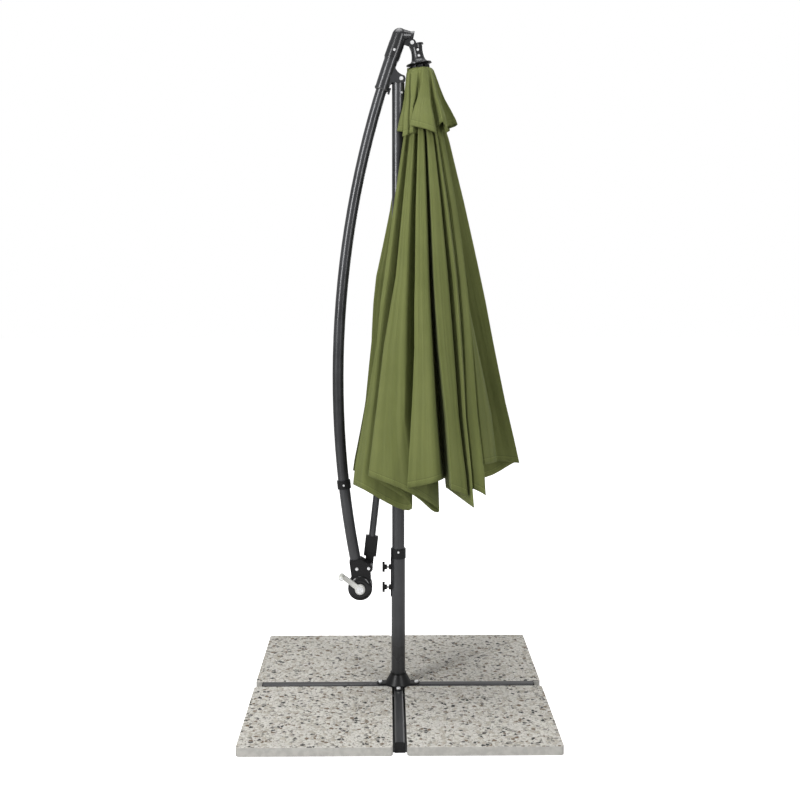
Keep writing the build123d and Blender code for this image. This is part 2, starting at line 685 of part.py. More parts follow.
with BuildPart() as guide_liner:
    with BuildSketch(arm_plane(SLEEVE_LOW)):
        Circle(LINER_R - SEAT / 2)
    revolve(axis=ARC_AXIS, revolution_arc=SLEEVE_HIGH - SLEEVE_LOW)
    with BuildSketch(arm_plane(SLEEVE_LOW - arc_angle(LINER_RIM_T))):
        Circle(LINER_RIM_R)
    revolve(axis=ARC_AXIS, revolution_arc=arc_angle(LINER_RIM_T))
    with BuildSketch(arm_plane(SLEEVE_LOW - arc_angle(LINER_RIM_T + 1))):
        Circle(ARM_R + CLEAR)
    revolve(axis=ARC_AXIS, revolution_arc=arc_angle(SLEEVE_LENGTH + LINER_RIM_T + 2), mode=Mode.SUBTRACT)
guide_liner.part.label = "guide_liner"
export_step(guide_liner.part, "parts/guide_liner.step")

# ---------------------------------------------------------------- arm
upper_arm_tube = arc_tube(JOINT_AT, ELBOW_LOW + arc_angle(ELBOW_SOCKET), ARM_R, ARM_R - ARM_WALL)
upper_arm_tube.part.label = "upper_arm_tube"
export_step(upper_arm_tube.part, "parts/upper_arm_tube.step")

lower_arm_tube = arc_tube(ARM_LOW, JOINT_AT, ARM_R, ARM_R - ARM_WALL)
lower_arm_tube.part.label = "lower_arm_tube"
export_step(lower_arm_tube.part, "parts/lower_arm_tube.step")

COLLAR_HALF_ANGLE = arc_angle(ARM_COLLAR_L / 2)
arm_collar = arc_tube(
    JOINT_AT - COLLAR_HALF_ANGLE,
    JOINT_AT + COLLAR_HALF_ANGLE,
    ARM_COLLAR_R,
    ARM_R + SEAT / 2,
)
arm_collar.part.label = "arm_collar"
export_step(arm_collar.part, "parts/arm_collar.step")

joint_x, joint_z = arm_point(JOINT_AT)
elbow_screw_x, elbow_screw_z = arm_point(ELBOW_LOW + arc_angle(26))
# The elbow turns from the end of the arm to a level limb that tapers to a flared mouth.
start_x, start_z = arm_point(ELBOW_LOW)
rise = (ELBOW_AXIS_Z - start_z) / cos(radians(ELBOW_LOW))
knee_x = start_x + rise * sin(radians(ELBOW_LOW))
ELBOW_UP = (sin(radians(ELBOW_LOW)), 0, cos(radians(ELBOW_LOW)))
LIP_OUT = (cos(radians(LIP_TILT)), 0, -sin(radians(LIP_TILT)))
slot_start = ELBOW_PIN[0] - PULLEY_R - SLOT_MARGIN
lip_plane = Plane(origin=(MOUTH_X + LIP_GAP, 0, ELBOW_AXIS_Z), z_dir=LIP_OUT)
with BuildPart() as elbow:
    for reach, narrow, taper_x, mode in (
        (ELBOW_R, MOUTH_R, knee_x, Mode.ADD),
        (ELBOW_BORE, MOUTH_BORE, slot_start, Mode.SUBTRACT),
    ):
        with BuildSketch(Plane(origin=(start_x, 0, start_z), z_dir=ELBOW_UP)):
            Circle(reach)
        extrude(amount=rise, mode=mode)
        with Locations((knee_x, 0, ELBOW_AXIS_Z)):
            Sphere(reach, mode=mode)
        if taper_x > knee_x:
            with BuildSketch(Plane(origin=(knee_x, 0, ELBOW_AXIS_Z), z_dir=(1, 0, 0))):
                Circle(reach)
            extrude(amount=taper_x - knee_x, mode=mode)
        with BuildSketch(Plane(origin=(taper_x, 0, ELBOW_AXIS_Z), z_dir=(1, 0, 0))):
            Circle(reach)
        with BuildSketch(Plane(origin=(MOUTH_X, 0, ELBOW_AXIS_Z), z_dir=(1, 0, 0))):
            Circle(narrow)
        loft(mode=mode)
        if mode is Mode.ADD:
            with BuildSketch(Plane(origin=(MOUTH_X, 0, ELBOW_AXIS_Z), z_dir=(1, 0, 0))):
                Circle(MOUTH_R)
            with BuildSketch(lip_plane):
                Circle(LIP_R)
            loft()
            with BuildSketch(lip_plane):
                Circle(LIP_R)
            extrude(amount=LIP_T)
            with BuildSketch(arm_plane(ELBOW_LOW)):
                Circle(ELBOW_RIM_R)
            revolve(axis=ARC_AXIS, revolution_arc=arc_angle(ELBOW_RIM_L))
            with BuildSketch(front_plane(0, 0, 0)):
                with Locations(ELBOW_PIN):
                    Circle(ELBOW_LUG_R)
                with Locations((ELBOW_PIN[0] - 16, ELBOW_PIN[1] + 8)):
                    Rectangle(30, 20)
                make_hull()
            extrude(amount=ELBOW_LUG_OUT, both=True)
    with BuildSketch(Plane(origin=(MOUTH_X, 0, ELBOW_AXIS_Z), z_dir=(1, 0, 0))):
        Circle(MOUTH_BORE)
    extrude(amount=LIP_GAP + 2 * LIP_T + LIP_R * tan(radians(LIP_TILT)), mode=Mode.SUBTRACT)
    with BuildSketch(arm_plane(ELBOW_LOW - arc_angle(1))):
        Circle(ARM_R + SEAT)
    revolve(axis=ARC_AXIS, revolution_arc=arc_angle(ELBOW_SOCKET + 1.2), mode=Mode.SUBTRACT)
    with BuildSketch(front_plane(ELBOW_PIN[0], 0, ELBOW_PIN[1] + 2)):
        Rectangle(2 * (PULLEY_R + SLOT_MARGIN), 2 * PULLEY_R + SLOT_MARGIN)
    extrude(amount=ELBOW_LUG_IN, both=True, mode=Mode.SUBTRACT)
    with BuildSketch(front_plane(ELBOW_PIN[0], 0, ELBOW_PIN[1])):
        Circle(ELBOW_PIN_R + RUN)
    extrude(amount=ELBOW_LUG_OUT, both=True, mode=Mode.SUBTRACT)
elbow.part.label = "elbow"
export_step(elbow.part, "parts/elbow.step")

# ---------------------------------------------------------------- crank housing, two shells
TUBE_BOLT = (-150.3, 463.3)
NECK_Z = 420.0
NECK_X = (-168.0, -99.0)
HOUSING_TOP_LEFT = (-177.3, 489.6)
HOUSING_TOP_RIGHT = (-134.8, 497.9)
AXLE_END = HOUSING_HALF - 2.0
for label, face in (("front", -1), ("rear", 1)):
    with BuildPart() as shell:
        with BuildSketch(Plane(origin=(0, 0, 0), x_dir=(1, 0, 0), z_dir=(0, -1, 0))):
            with Locations(DRUM):
                Circle(DRUM_R)
            with Locations(STRUT_PIN):
                Circle(EAR_R)
            with BuildLine():
                Polyline(
                    HOUSING_TOP_LEFT,
                    HOUSING_TOP_RIGHT,
                    (STRUT_PIN[0], STRUT_PIN[1] + EAR_R),
                    (STRUT_PIN[0] + 6, STRUT_PIN[1] - EAR_R),
                    (NECK_X[1], NECK_Z),
                    DRUM,
                    (NECK_X[0], NECK_Z),
                    close=True,
                )
            make_face()
        extrude(amount=-face * HOUSING_HALF)
        with BuildSketch(Plane(origin=(DRUM[0], 0, DRUM[1]), x_dir=(1, 0, 0), z_dir=(0, -1, 0))):
            Circle(CAVITY_R)
        extrude(amount=CAVITY_HALF, both=True, mode=Mode.SUBTRACT)
        with BuildSketch(Plane(origin=(DRUM[0], 0, DRUM[1]), x_dir=(1, 0, 0), z_dir=(0, -1, 0))):
            Circle(AXLE_BUSH_R)
        extrude(amount=-face * (AXLE_END if face > 0 else HOUSING_HALF), mode=Mode.SUBTRACT)
        with BuildSketch(arm_plane(ARM_LOW - arc_angle(SEAT))):
            Circle(ARM_R + SEAT)
        revolve(axis=ARC_AXIS, revolution_arc=3, mode=Mode.SUBTRACT)
        with BuildSketch(arm_plane(ARM_LOW)):
            with Locations((-CABLE_DOOR_IN, 0)):
                Circle(CABLE_DOOR_R)
        extrude(amount=-50, mode=Mode.SUBTRACT)
        for x, z in (STRUT_PIN, TUBE_BOLT)[:2 if face < 0 else 1]:
            with BuildSketch(front_plane(x, 0, z)):
                Circle(BOLT_R + SEAT)
            extrude(amount=HOUSING_HALF if face < 0 else -STRUT_BOLT_END - SEAT, mode=Mode.SUBTRACT)
        split(bisect_by=Plane.XZ.offset(0), keep=Keep.TOP if face < 0 else Keep.BOTTOM)
    shell.part.label = f"housing_{label}"
    export_step(shell.part, f"parts/housing_{label}.step")

with BuildPart() as arm_bolts:
    for (x, z), shank in (
        (STRUT_PIN, HOUSING_HALF + STRUT_BOLT_END),
        (TUBE_BOLT, HOUSING_HALF - ARM_R - 1),
    ):
        with BuildSketch(front_plane(x, -HOUSING_HALF, z)):
            Circle(BOLT_HEAD_R)
        extrude(amount=BOLT_HEAD_T, taper=16)
        with BuildSketch(front_plane(x, -HOUSING_HALF, z)):
            Circle(BOLT_R)
        extrude(amount=-shank)
    for x, y, z, head in (
        (joint_x, -ARM_COLLAR_R, joint_z, SMALL_HEAD_R),
        (elbow_screw_x, -ELBOW_RIM_R, elbow_screw_z, SMALL_HEAD_R + 1),
    ):
        with BuildSketch(front_plane(x, y, z)):
            Circle(head)
        extrude(amount=SMALL_HEAD_T, taper=14)
arm_bolts.part.label = "arm_bolts"
export_step(arm_bolts.part, "parts/arm_bolts.step")

with BuildPart() as drum_cover:
    with BuildSketch(Plane(origin=(DRUM[0], 0, DRUM[1]), x_dir=(1, 0, 0), z_dir=(0, 0, 1))):
        with BuildLine():
            Polyline(
                (AXLE_R + 1, -HOUSING_HALF),
                (DRUM_R, -HOUSING_HALF),
                (DRUM_R, -HOUSING_HALF - DOME_LIP),
            )
            ThreePointArc(
                (DRUM_R, -HOUSING_HALF - DOME_LIP),
                ((DRUM_R + DOME_TOP_R) / 2 + 4, -HOUSING_HALF - DOME_T + 2),
                (DOME_TOP_R, -HOUSING_HALF - DOME_T),
            )
            Polyline(
                (DOME_TOP_R, -HOUSING_HALF - DOME_T),
                (AXLE_R + 1, -HOUSING_HALF - DOME_T),
                (AXLE_R + 1, -HOUSING_HALF),
            )
        make_face()
    revolve(axis=Axis((DRUM[0], 0, DRUM[1]), (0, 1, 0)))
drum_cover.part.label = "drum_cover"
export_step(drum_cover.part, "parts/drum_cover.step")

with BuildPart() as crank_bushes:
    for inner, outer in ((-HOUSING_HALF, -CAVITY_HALF), (CAVITY_HALF, AXLE_END - SEAT)):
        with BuildSketch(Plane(origin=(DRUM[0], inner, DRUM[1]), z_dir=(0, 1, 0))):
            Circle(AXLE_BUSH_R - SEAT / 2)
            Circle(AXLE_R + RUN, mode=Mode.SUBTRACT)
        extrude(amount=outer - inner)
crank_bushes.part.label = "crank_bushes"
export_step(crank_bushes.part, "parts/crank_bushes.step")

# ---------------------------------------------------------------- lift cable, spool to pulley
CABLE_RADIUS_OF_ARC = ARM_RADIUS - 8.25
CABLE_TOP = 19.6
CABLE_TURN_R = 20.0
cable_x, cable_z = arm_point(CABLE_TOP, CABLE_RADIUS_OF_ARC)
cable_dir = Vector(sin(radians(CABLE_TOP)), 0, cos(radians(CABLE_TOP)))
over_pulley = ELBOW_PIN[1] + PULLEY_PITCH
cable_knee = (cable_x + (over_pulley - cable_z) * tan(radians(CABLE_TOP)), over_pulley)
with BuildPart() as lift_cable_arm:
    with BuildSketch(arm_plane(ARM_LOW, CABLE_RADIUS_OF_ARC)):
        Circle(CABLE_R)
    extrude(amount=-44)
    with BuildSketch(arm_plane(ARM_LOW, CABLE_RADIUS_OF_ARC)):
        Circle(CABLE_R)
    revolve(axis=ARC_AXIS, revolution_arc=CABLE_TOP - ARM_LOW)
    with BuildLine(Plane.XZ):
        FilletPolyline((cable_x, cable_z), cable_knee, (ELBOW_PIN[0], over_pulley), radius=CABLE_TURN_R)
    with BuildSketch(Plane(origin=(cable_x, 0, cable_z), z_dir=cable_dir)):
        Circle(CABLE_R)
    sweep()
lift_cable_arm.part.label = "lift_cable_arm"
export_step(lift_cable_arm.part, "parts/lift_cable_arm.step")

# ---------------------------------------------------------------- elbow pin and pulley
CROWN_CHEEK_IN = ELBOW_LUG_OUT + CLEAR
with BuildPart() as elbow_pin:
    with BuildSketch(front_plane(ELBOW_PIN[0], 0, ELBOW_PIN[1])):
        Circle(ELBOW_PIN_R)
    extrude(amount=CROWN_CHEEK_OUT + CLEAR, both=True)
    for lean in (-1, 1):
        place = (ELBOW_PIN[0], lean * (CROWN_CHEEK_OUT + CLEAR), ELBOW_PIN[1])
        with BuildSketch(Plane(origin=place, z_dir=(0, lean, 0))):
            Circle(PIN_HEAD_R)
        extrude(amount=PIN_HEAD_T, taper=14)
elbow_pin.part.label = "elbow_pin"
export_step(elbow_pin.part, "parts/elbow_pin.step")

with BuildPart() as elbow_pulley:
    with BuildSketch(Plane(origin=(ELBOW_PIN[0], 0, ELBOW_PIN[1]), x_dir=(1, 0, 0), z_dir=(0, 0, 1))):
        with BuildLine():
            groove = PULLEY_PITCH - CABLE_R - SEAT
            Polyline(
                (ELBOW_PIN_R + RUN, -PULLEY_HALF),
                (PULLEY_R, -PULLEY_HALF),
                (groove, -CABLE_R - RUN),
                (groove, CABLE_R + RUN),
                (PULLEY_R, PULLEY_HALF),
                (ELBOW_PIN_R + RUN, PULLEY_HALF),
                close=True,
            )
        make_face()
    revolve(axis=Axis((ELBOW_PIN[0], 0, ELBOW_PIN[1]), (0, 1, 0)))
elbow_pulley.part.label = "elbow_pulley"
export_step(elbow_pulley.part, "parts/elbow_pulley.step")

# ---------------------------------------------------------------- crank
with BuildPart() as crank_axle:
    with BuildSketch(Plane(origin=(DRUM[0], AXLE_END - 2 * CLEAR, DRUM[1]), z_dir=(0, -1, 0))):
        Circle(AXLE_R)
    extrude(amount=AXLE_END - 2 * CLEAR - (LEVER_Y - LEVER_T - 2))
    with BuildSketch(Plane(origin=(DRUM[0], LEVER_Y - LEVER_T - 2, DRUM[1]), z_dir=(0, -1, 0))):
        Circle(AXLE_R + 3)
    extrude(amount=2.5, taper=14)
crank_axle.part.label = "crank_axle"
export_step(crank_axle.part, "parts/crank_axle.step")

with BuildPart() as cable_spool:
    with BuildSketch(Plane(origin=(DRUM[0], -SPOOL_HALF, DRUM[1]), z_dir=(0, 1, 0))):
        Circle(SPOOL_CORE)
    extrude(amount=2 * SPOOL_HALF)
    for edge in (-SPOOL_HALF, SPOOL_HALF - SPOOL_CHEEK):
        with BuildSketch(Plane(origin=(DRUM[0], edge, DRUM[1]), z_dir=(0, 1, 0))):
            Circle(SPOOL_R)
        extrude(amount=SPOOL_CHEEK)
    with BuildSketch(Plane(origin=(DRUM[0], -SPOOL_HALF, DRUM[1]), z_dir=(0, 1, 0))):
        Circle(AXLE_R + SEAT / 2)
    extrude(amount=2 * SPOOL_HALF, mode=Mode.SUBTRACT)
cable_spool.part.label = "cable_spool"
export_step(cable_spool.part, "parts/cable_spool.step")

tip_dx, tip_dz = polar(LEVER_LENGTH, LEVER_ANGLE)
LEVER_TIP = (DRUM[0] + tip_dx, DRUM[1] + tip_dz)
with BuildPart() as crank_lever:
    with BuildSketch(front_plane(0, LEVER_Y, 0)):
        with Locations(DRUM):
            Circle(LEVER_ROOT_W / 2)
        with Locations(LEVER_TIP):
            Circle(LEVER_TIP_R)
        make_hull()
    extrude(amount=LEVER_T)
    fillet(crank_lever.faces().sort_by(Axis.Y)[0].edges(), 2)
    with BuildSketch(front_plane(DRUM[0], LEVER_Y + 2, DRUM[1])):
        Circle(HUB_R)
    extrude(amount=LEVER_T + 4)
    fillet(crank_lever.faces().sort_by(Axis.Y)[0].edges(), 2.5)
    with BuildSketch(front_plane(DRUM[0], LEVER_Y + 2, DRUM[1])):
        Circle(AXLE_R + SEAT / 2)
    extrude(amount=LEVER_T + 4, mode=Mode.SUBTRACT)
    with BuildSketch(front_plane(LEVER_TIP[0], LEVER_Y, LEVER_TIP[1])):
        Circle(GRIP_PIN_R + SEAT / 2)
    extrude(amount=LEVER_T, mode=Mode.SUBTRACT)
crank_lever.part.label = "crank_lever"
export_step(crank_lever.part, "parts/crank_lever.step")

GRIP_Y = LEVER_Y - LEVER_T - 2 * CLEAR
with BuildPart() as grip_pin:
    with BuildSketch(front_plane(LEVER_TIP[0], LEVER_Y, LEVER_TIP[1])):
        Circle(GRIP_PIN_R)
    extrude(amount=LEVER_Y - GRIP_Y + GRIP_L + CLEAR)
    with BuildSketch(front_plane(LEVER_TIP[0], GRIP_Y - GRIP_L - CLEAR, LEVER_TIP[1])):
        Circle(GRIP_HEAD_R)
    extrude(amount=GRIP_HEAD_T, taper=14)
grip_pin.part.label = "grip_pin"
export_step(grip_pin.part, "parts/grip_pin.step")

with BuildPart() as crank_grip:
    with BuildSketch(front_plane(LEVER_TIP[0], GRIP_Y, LEVER_TIP[1])):
        Circle(GRIP_R)
    extrude(amount=GRIP_L)
    fillet(crank_grip.edges().filter_by(GeomType.CIRCLE), 2)
    with BuildSketch(front_plane(LEVER_TIP[0], GRIP_Y, LEVER_TIP[1])):
        Circle(GRIP_PIN_R + RUN)
    extrude(amount=GRIP_L, mode=Mode.SUBTRACT)
crank_grip.part.label = "crank_grip"
export_step(crank_grip.part, "parts/crank_grip.step")

# ---------------------------------------------------------------- strut
STRUT_SPAN = STRUT_RUN.length
PIVOT_3D = Vector(STRUT_PIVOT[0], STRUT_Y, STRUT_PIVOT[1])
BOOT_TOP = STRUT_SPAN - BOOT_FROM - BOOT_L
STRUT_SIDE = Vector(0, 1, 0)


def strut_plane(distance, y=STRUT_Y):
    """A plane across the strut at a distance below its pivot."""
    origin = Vector(STRUT_PIVOT[0], y, STRUT_PIVOT[1]) + distance * STRUT_DIR
    return Plane(origin=origin, x_dir=STRUT_SIDE, z_dir=STRUT_DIR)


with BuildPart() as strut_tube:
    with BuildSketch(strut_plane(EYE_R + 2)):
        Circle(STRUT_R)
        Circle(STRUT_R - STRUT_WALL, mode=Mode.SUBTRACT)
    extrude(amount=STRUT_SPAN - BOOT_FROM - 8 - EYE_R - 2)
strut_tube.part.label = "strut_tube"
export_step(strut_tube.part, "parts/strut_tube.step")

with BuildPart() as strut_eye:
    with BuildSketch(Plane(origin=PIVOT_3D, x_dir=(1, 0, 0), z_dir=(0, -1, 0))):
        Circle(EYE_R)
    extrude(amount=STRUT_R, both=True)
    with BuildSketch(strut_plane(0)):
        Circle(EYE_R - 0.5)
    extrude(amount=EYE_L)
    with BuildSketch(strut_plane(EYE_R + 2)):
        Circle(STRUT_R + SEAT / 2)
    extrude(amount=EYE_L, mode=Mode.SUBTRACT)
    for lean in (-1, 1):
        with BuildSketch(Plane(origin=PIVOT_3D + lean * STRUT_R * STRUT_SIDE, z_dir=(0, lean, 0))):
            Rectangle(4 * EYE_R, 4 * EYE_R)
        extrude(amount=EYE_R, mode=Mode.SUBTRACT)
    with BuildSketch(Plane(origin=PIVOT_3D, x_dir=(1, 0, 0), z_dir=(0, -1, 0))):
        Circle(PIVOT_R + RUN)
    extrude(amount=STRUT_R, both=True, mode=Mode.SUBTRACT)
strut_eye.part.label = "strut_eye"
export_step(strut_eye.part, "parts/strut_eye.step")

TONGUE_Y = HOUSING_HALF + TONGUE_GAP
with BuildPart() as strut_sleeve:
    with BuildSketch(strut_plane(BOOT_TOP)):
        Rectangle(BOOT_D, BOOT_W)
    extrude(amount=BOOT_L)
    fillet(strut_sleeve.edges(), 3)
    with BuildSketch(strut_plane(BOOT_TOP + BOOT_L - 12, TONGUE_Y + TONGUE_T / 2)):
        Rectangle(TONGUE_T, TONGUE_W)
    extrude(amount=BOOT_FROM + 12)
    with BuildSketch(Plane(origin=(STRUT_PIN[0], TONGUE_Y, STRUT_PIN[1]), z_dir=(0, 1, 0))):
        Circle(TONGUE_W / 2)
    extrude(amount=TONGUE_T)
    with BuildSketch(strut_plane(BOOT_TOP - 1)):
        Circle(STRUT_R + SEAT / 2)
    extrude(amount=BOOT_L + 1 - 8, mode=Mode.SUBTRACT)
    with BuildSketch(Plane(origin=(STRUT_PIN[0], TONGUE_Y, STRUT_PIN[1]), z_dir=(0, 1, 0))):
        Circle(PIVOT_R + SEAT / 2)
    extrude(amount=TONGUE_T, mode=Mode.SUBTRACT)
strut_sleeve.part.label = "strut_sleeve"
export_step(strut_sleeve.part, "parts/strut_sleeve.step")

with BuildPart() as strut_end_bolt:
    with BuildSketch(Plane(origin=(STRUT_PIN[0], TONGUE_Y, STRUT_PIN[1]), z_dir=(0, 1, 0))):
        Circle(PIVOT_R)
    extrude(amount=TONGUE_T)
    with BuildSketch(Plane(origin=(STRUT_PIN[0], TONGUE_Y + TONGUE_T, STRUT_PIN[1]), z_dir=(0, 1, 0))):
        Circle(PIVOT_HEAD_R)
    extrude(amount=PIVOT_HEAD_T, taper=12)
strut_end_bolt.part.label = "strut_end_bolt"
export_step(strut_end_bolt.part, "parts/strut_end_bolt.step")

# ---------------------------------------------------------------- crown
HUB_BORE = 5.5
with BuildPart() as crown:
    with BuildSketch(crown_section()):
        with BuildLine():
            Polyline((HUB_BORE, CROWN_TOP), (CROWN_R, CROWN_TOP))
            ThreePointArc((CROWN_R, CROWN_TOP), (CROWN_WAIST, 0), (CROWN_R + 3, -25))
            ThreePointArc((CROWN_R + 3, -25), (DISC_R - 12, -DISC_EDGE + 3.5), (DISC_R, -DISC_EDGE))
            Polyline((DISC_R, -DISC_EDGE), (DISC_R, -DISC_EDGE - DISC_T), (CROWN_R + 4, -CROWN_FOOT),
                     (HUB_BORE, -CROWN_FOOT), (HUB_BORE, CROWN_TOP))
        make_face()
    revolve(axis=Axis(CROWN_ORIGIN, CROWN_UP))
    with BuildSketch(crown_plane(CROWN_TOP)):
        Circle(CROWN_R)
        with Locations((BROW_FROM - 2 * CROWN_R, 0)):
            Rectangle(4 * CROWN_R, 4 * CROWN_R, mode=Mode.SUBTRACT)
    extrude(amount=BROW_TOP - CROWN_TOP)
    with BuildSketch(crown_plane(BROW_TOP - BROW_T)):
        Circle(BROW_R)
        with Locations((BROW_FROM - 2 * CROWN_R, 0)):
            Rectangle(4 * CROWN_R, 4 * CROWN_R, mode=Mode.SUBTRACT)
    extrude(amount=BROW_T)
    for inner in (CROWN_CHEEK_IN, -CROWN_CHEEK_OUT):
        with BuildSketch(Plane(origin=CROWN_ORIGIN + Vector(0, inner, 0), x_dir=CROWN_OUT, z_dir=(0, -1, 0))):
            with Locations((-PULLEY_PITCH, CROWN_DROP)):
                Circle(CROWN_CHEEK_R)
            with Locations((-6, CROWN_TOP - 8)):
                Rectangle(26, 14)
            make_hull()
        extrude(amount=-(CROWN_CHEEK_OUT - CROWN_CHEEK_IN))
    with BuildSketch(front_plane(ELBOW_PIN[0], 0, ELBOW_PIN[1])):
        Circle(ELBOW_PIN_R + RUN)
    extrude(amount=CROWN_CHEEK_OUT, both=True, mode=Mode.SUBTRACT)
    window = CROWN_ORIGIN - Vector(0, CROWN_R + 2, 0)
    with BuildSketch(Plane(origin=window, x_dir=CROWN_OUT, z_dir=(0, -1, 0))):
        with Locations((3, -2)):
            RectangleRounded(15, 36, 4)
    extrude(amount=-7, mode=Mode.SUBTRACT)
    with BuildSketch(crown_plane(-CROWN_FOOT)):
        Circle(HUB_BORE)
    extrude(amount=CROWN_FOOT + BROW_TOP + 1, mode=Mode.SUBTRACT)
crown.part.label = "crown"
export_step(crown.part, "parts/crown.step")

POCKET_Y = CROWN_R - 5
with BuildPart() as crown_bolts:
    for height in (9, -12):
        seat = CROWN_ORIGIN + 3 * CROWN_OUT + height * CROWN_UP - Vector(0, POCKET_Y, 0)
        with BuildSketch(Plane(origin=seat, z_dir=(0, -1, 0))):
            Circle(5)
        extrude(amount=3.5, taper=14)
crown_bolts.part.label = "crown_bolts"
export_step(crown_bolts.part, "parts/crown_bolts.step")

# ---------------------------------------------------------------- folded cloth
PLEAT_STEP = (360 - (SLOT_FRONT_ANGLE - SLOT_BACK_ANGLE)) / (PLEATS - 1)
RIB_ANGLES = [SLOT_FRONT_ANGLE + PLEAT_STEP * (k + 0.5) for k in range(0, PLEATS - 1, 2)]


def fold_outline(ridge, valley, floor, front, back):
    """The closed outline of the folds about their own axis, with the pole slot on the -X side."""
    points = []
    for k in range(PLEATS):
        angle = SLOT_FRONT_ANGLE + PLEAT_STEP * k
        points.append(polar(ridge, angle))
        if k < PLEATS - 1:
            points.append(polar(valley, angle + PLEAT_STEP / 2))
    return points + [(floor, back), (floor, -front)]


def inset(points, wall):
    """The outline moved inwards by a wall, each corner mitred. The outline runs anticlockwise."""
    moved = []
    for k, here in enumerate(points):
        before, after = points[k - 1], points[(k + 1) % len(points)]
        normals = []
        for (ax, ay), (bx, by) in ((before, here), (here, after)):
            length = hypot(bx - ax, by - ay)
            normals.append((-(by - ay) / length, (bx - ax) / length))
        (mx, my), (nx, ny) = normals
        scale = wall / (1 + mx * nx + my * ny)
        moved.append((here[0] + (mx + nx) * scale, here[1] + (my + ny) * scale))
    return moved


def cloth_shell(levels, slot_x, outset, hem, hem_depth, top=None):
    """A folded cloth wall through its levels, open below, its hem cut to a line."""
    with BuildPart() as cloth:
        for wall, mode in ((0.0, Mode.ADD), (WALL, Mode.SUBTRACT)):
            if top:
                with BuildSketch(crown_plane(top[0] - wall)):
                    with BuildLine():
                        ring = fold_outline(*top[1:])
                        Polyline(*(inset(ring, wall) if wall else ring), close=True)
                    make_face()
            for height, axis_x, ridge, valley, front, back in levels:
                lift = outset if wall and not top and height == levels[0][0] else 0
                drop = outset if wall and height == levels[-1][0] else 0
                with BuildSketch(Plane(origin=(axis_x, 0, height + lift - drop))):
                    with BuildLine():
                        ring = fold_outline(ridge, valley, slot_x - axis_x, front, back)
                        Polyline(*(inset(ring, wall) if wall else ring), close=True)
                    make_face()
            loft(ruled=True, mode=mode)
        with BuildSketch(Plane.XZ):
            with BuildLine():
                Polyline(*hem, (hem[-1][0] + 200, hem[-1][1]), (hem[-1][0] + 200, hem_depth),
                         (hem[0][0] - 200, hem_depth), (hem[0][0] - 200, hem[0][1]), close=True)
            make_face()
        extrude(amount=500, both=True, mode=Mode.SUBTRACT)
    return cloth


canopy = cloth_shell(CANOPY_LEVELS, CANOPY_SLOT_X, 2.0, HEM, 600)
canopy.part.label = "canopy"
export_step(canopy.part, "parts/canopy.step")

VENT_TOP = -CROWN_FOOT - 0.2
vent_cap = cloth_shell(VENT_LEVELS, VENT_SLOT_X, 2.0, VENT_HEM, 1950, top=(VENT_TOP, *VENT_TOP_RING))
with BuildPart() as vent_cap_bored:
    add(vent_cap.part)
    with BuildSketch(crown_plane(VENT_TOP - 2 * WALL)):
        Circle(HUB_BORE + 3)
    extrude(amount=4 * WALL, mode=Mode.SUBTRACT)
vent_cap_bored.part.label = "vent_cap"
export_step(vent_cap_bored.part, "parts/vent_cap.step")

# ---------------------------------------------------------------- canopy frame
HOLDER_TOP = VENT_TOP - WALL - 0.2
NOTCH_W = RIB_W + 0.9
with BuildPart() as rib_holder:
    with BuildSketch(crown_plane(HOLDER_TOP - HOLDER_T)):
        Circle(HOLDER_R)
        Circle(HUB_BORE, mode=Mode.SUBTRACT)
        for angle in RIB_ANGLES:
            with Locations(Location(Vector(*polar(RIB_TOP_R + 4, angle), 0), (0, 0, angle))):
                Rectangle(RIB_D + 16, NOTCH_W, mode=Mode.SUBTRACT)
    extrude(amount=HOLDER_T)
rib_holder.part.label = "rib_holder"
export_step(rib_holder.part, "parts/rib_holder.step")

TOP_AXIS_X = CROWN_ORIGIN.X + (RIB_TOP_Z - CROWN_ORIGIN.Z) * CROWN_UP.X / CROWN_UP.Z
FOOT_AXIS_X = 135.8


def axis_x(height):
    """The x of the folded canopy's axis at a height."""
    share = (RIB_TOP_Z - height) / (RIB_TOP_Z - RIB_FOOT_Z)
    return TOP_AXIS_X + (FOOT_AXIS_X - TOP_AXIS_X) * share


def rib_point(angle, height, inwards=0.0):
    """A point on a rib's centreline, or further in."""
    share = (RIB_TOP_Z - height) / (RIB_TOP_Z - RIB_FOOT_Z)
    x, y = polar(RIB_TOP_R + (RIB_FOOT_R - RIB_TOP_R) * share - inwards, angle)
    return Vector(axis_x(height) + x, y, height)


with BuildPart() as ribs:
    for angle in RIB_ANGLES:
        top, low = rib_point(angle, RIB_TOP_Z), rib_point(angle, RIB_FOOT_Z)
        side = Vector(*polar(1, angle + 90), 0)
        with BuildSketch(Plane(origin=top, x_dir=side, z_dir=low - top)):
            Rectangle(RIB_W, RIB_D)
            Rectangle(RIB_W - 2 * RIB_WALL, RIB_D - 2 * RIB_WALL, mode=Mode.SUBTRACT)
        extrude(amount=(low - top).length)
ribs.part.label = "ribs"
export_step(ribs.part, "parts/ribs.step")

with BuildPart() as rib_tips:
    for angle in RIB_ANGLES:
        top, low = rib_point(angle, RIB_TOP_Z), rib_point(angle, RIB_FOOT_Z)
        side = Vector(*polar(1, angle + 90), 0)
        with BuildSketch(Plane(origin=low, x_dir=side, z_dir=low - top)):
            RectangleRounded(RIB_W, RIB_D, 2)
        extrude(amount=16)
rib_tips.part.label = "rib_tips"
export_step(rib_tips.part, "parts/rib_tips.step")

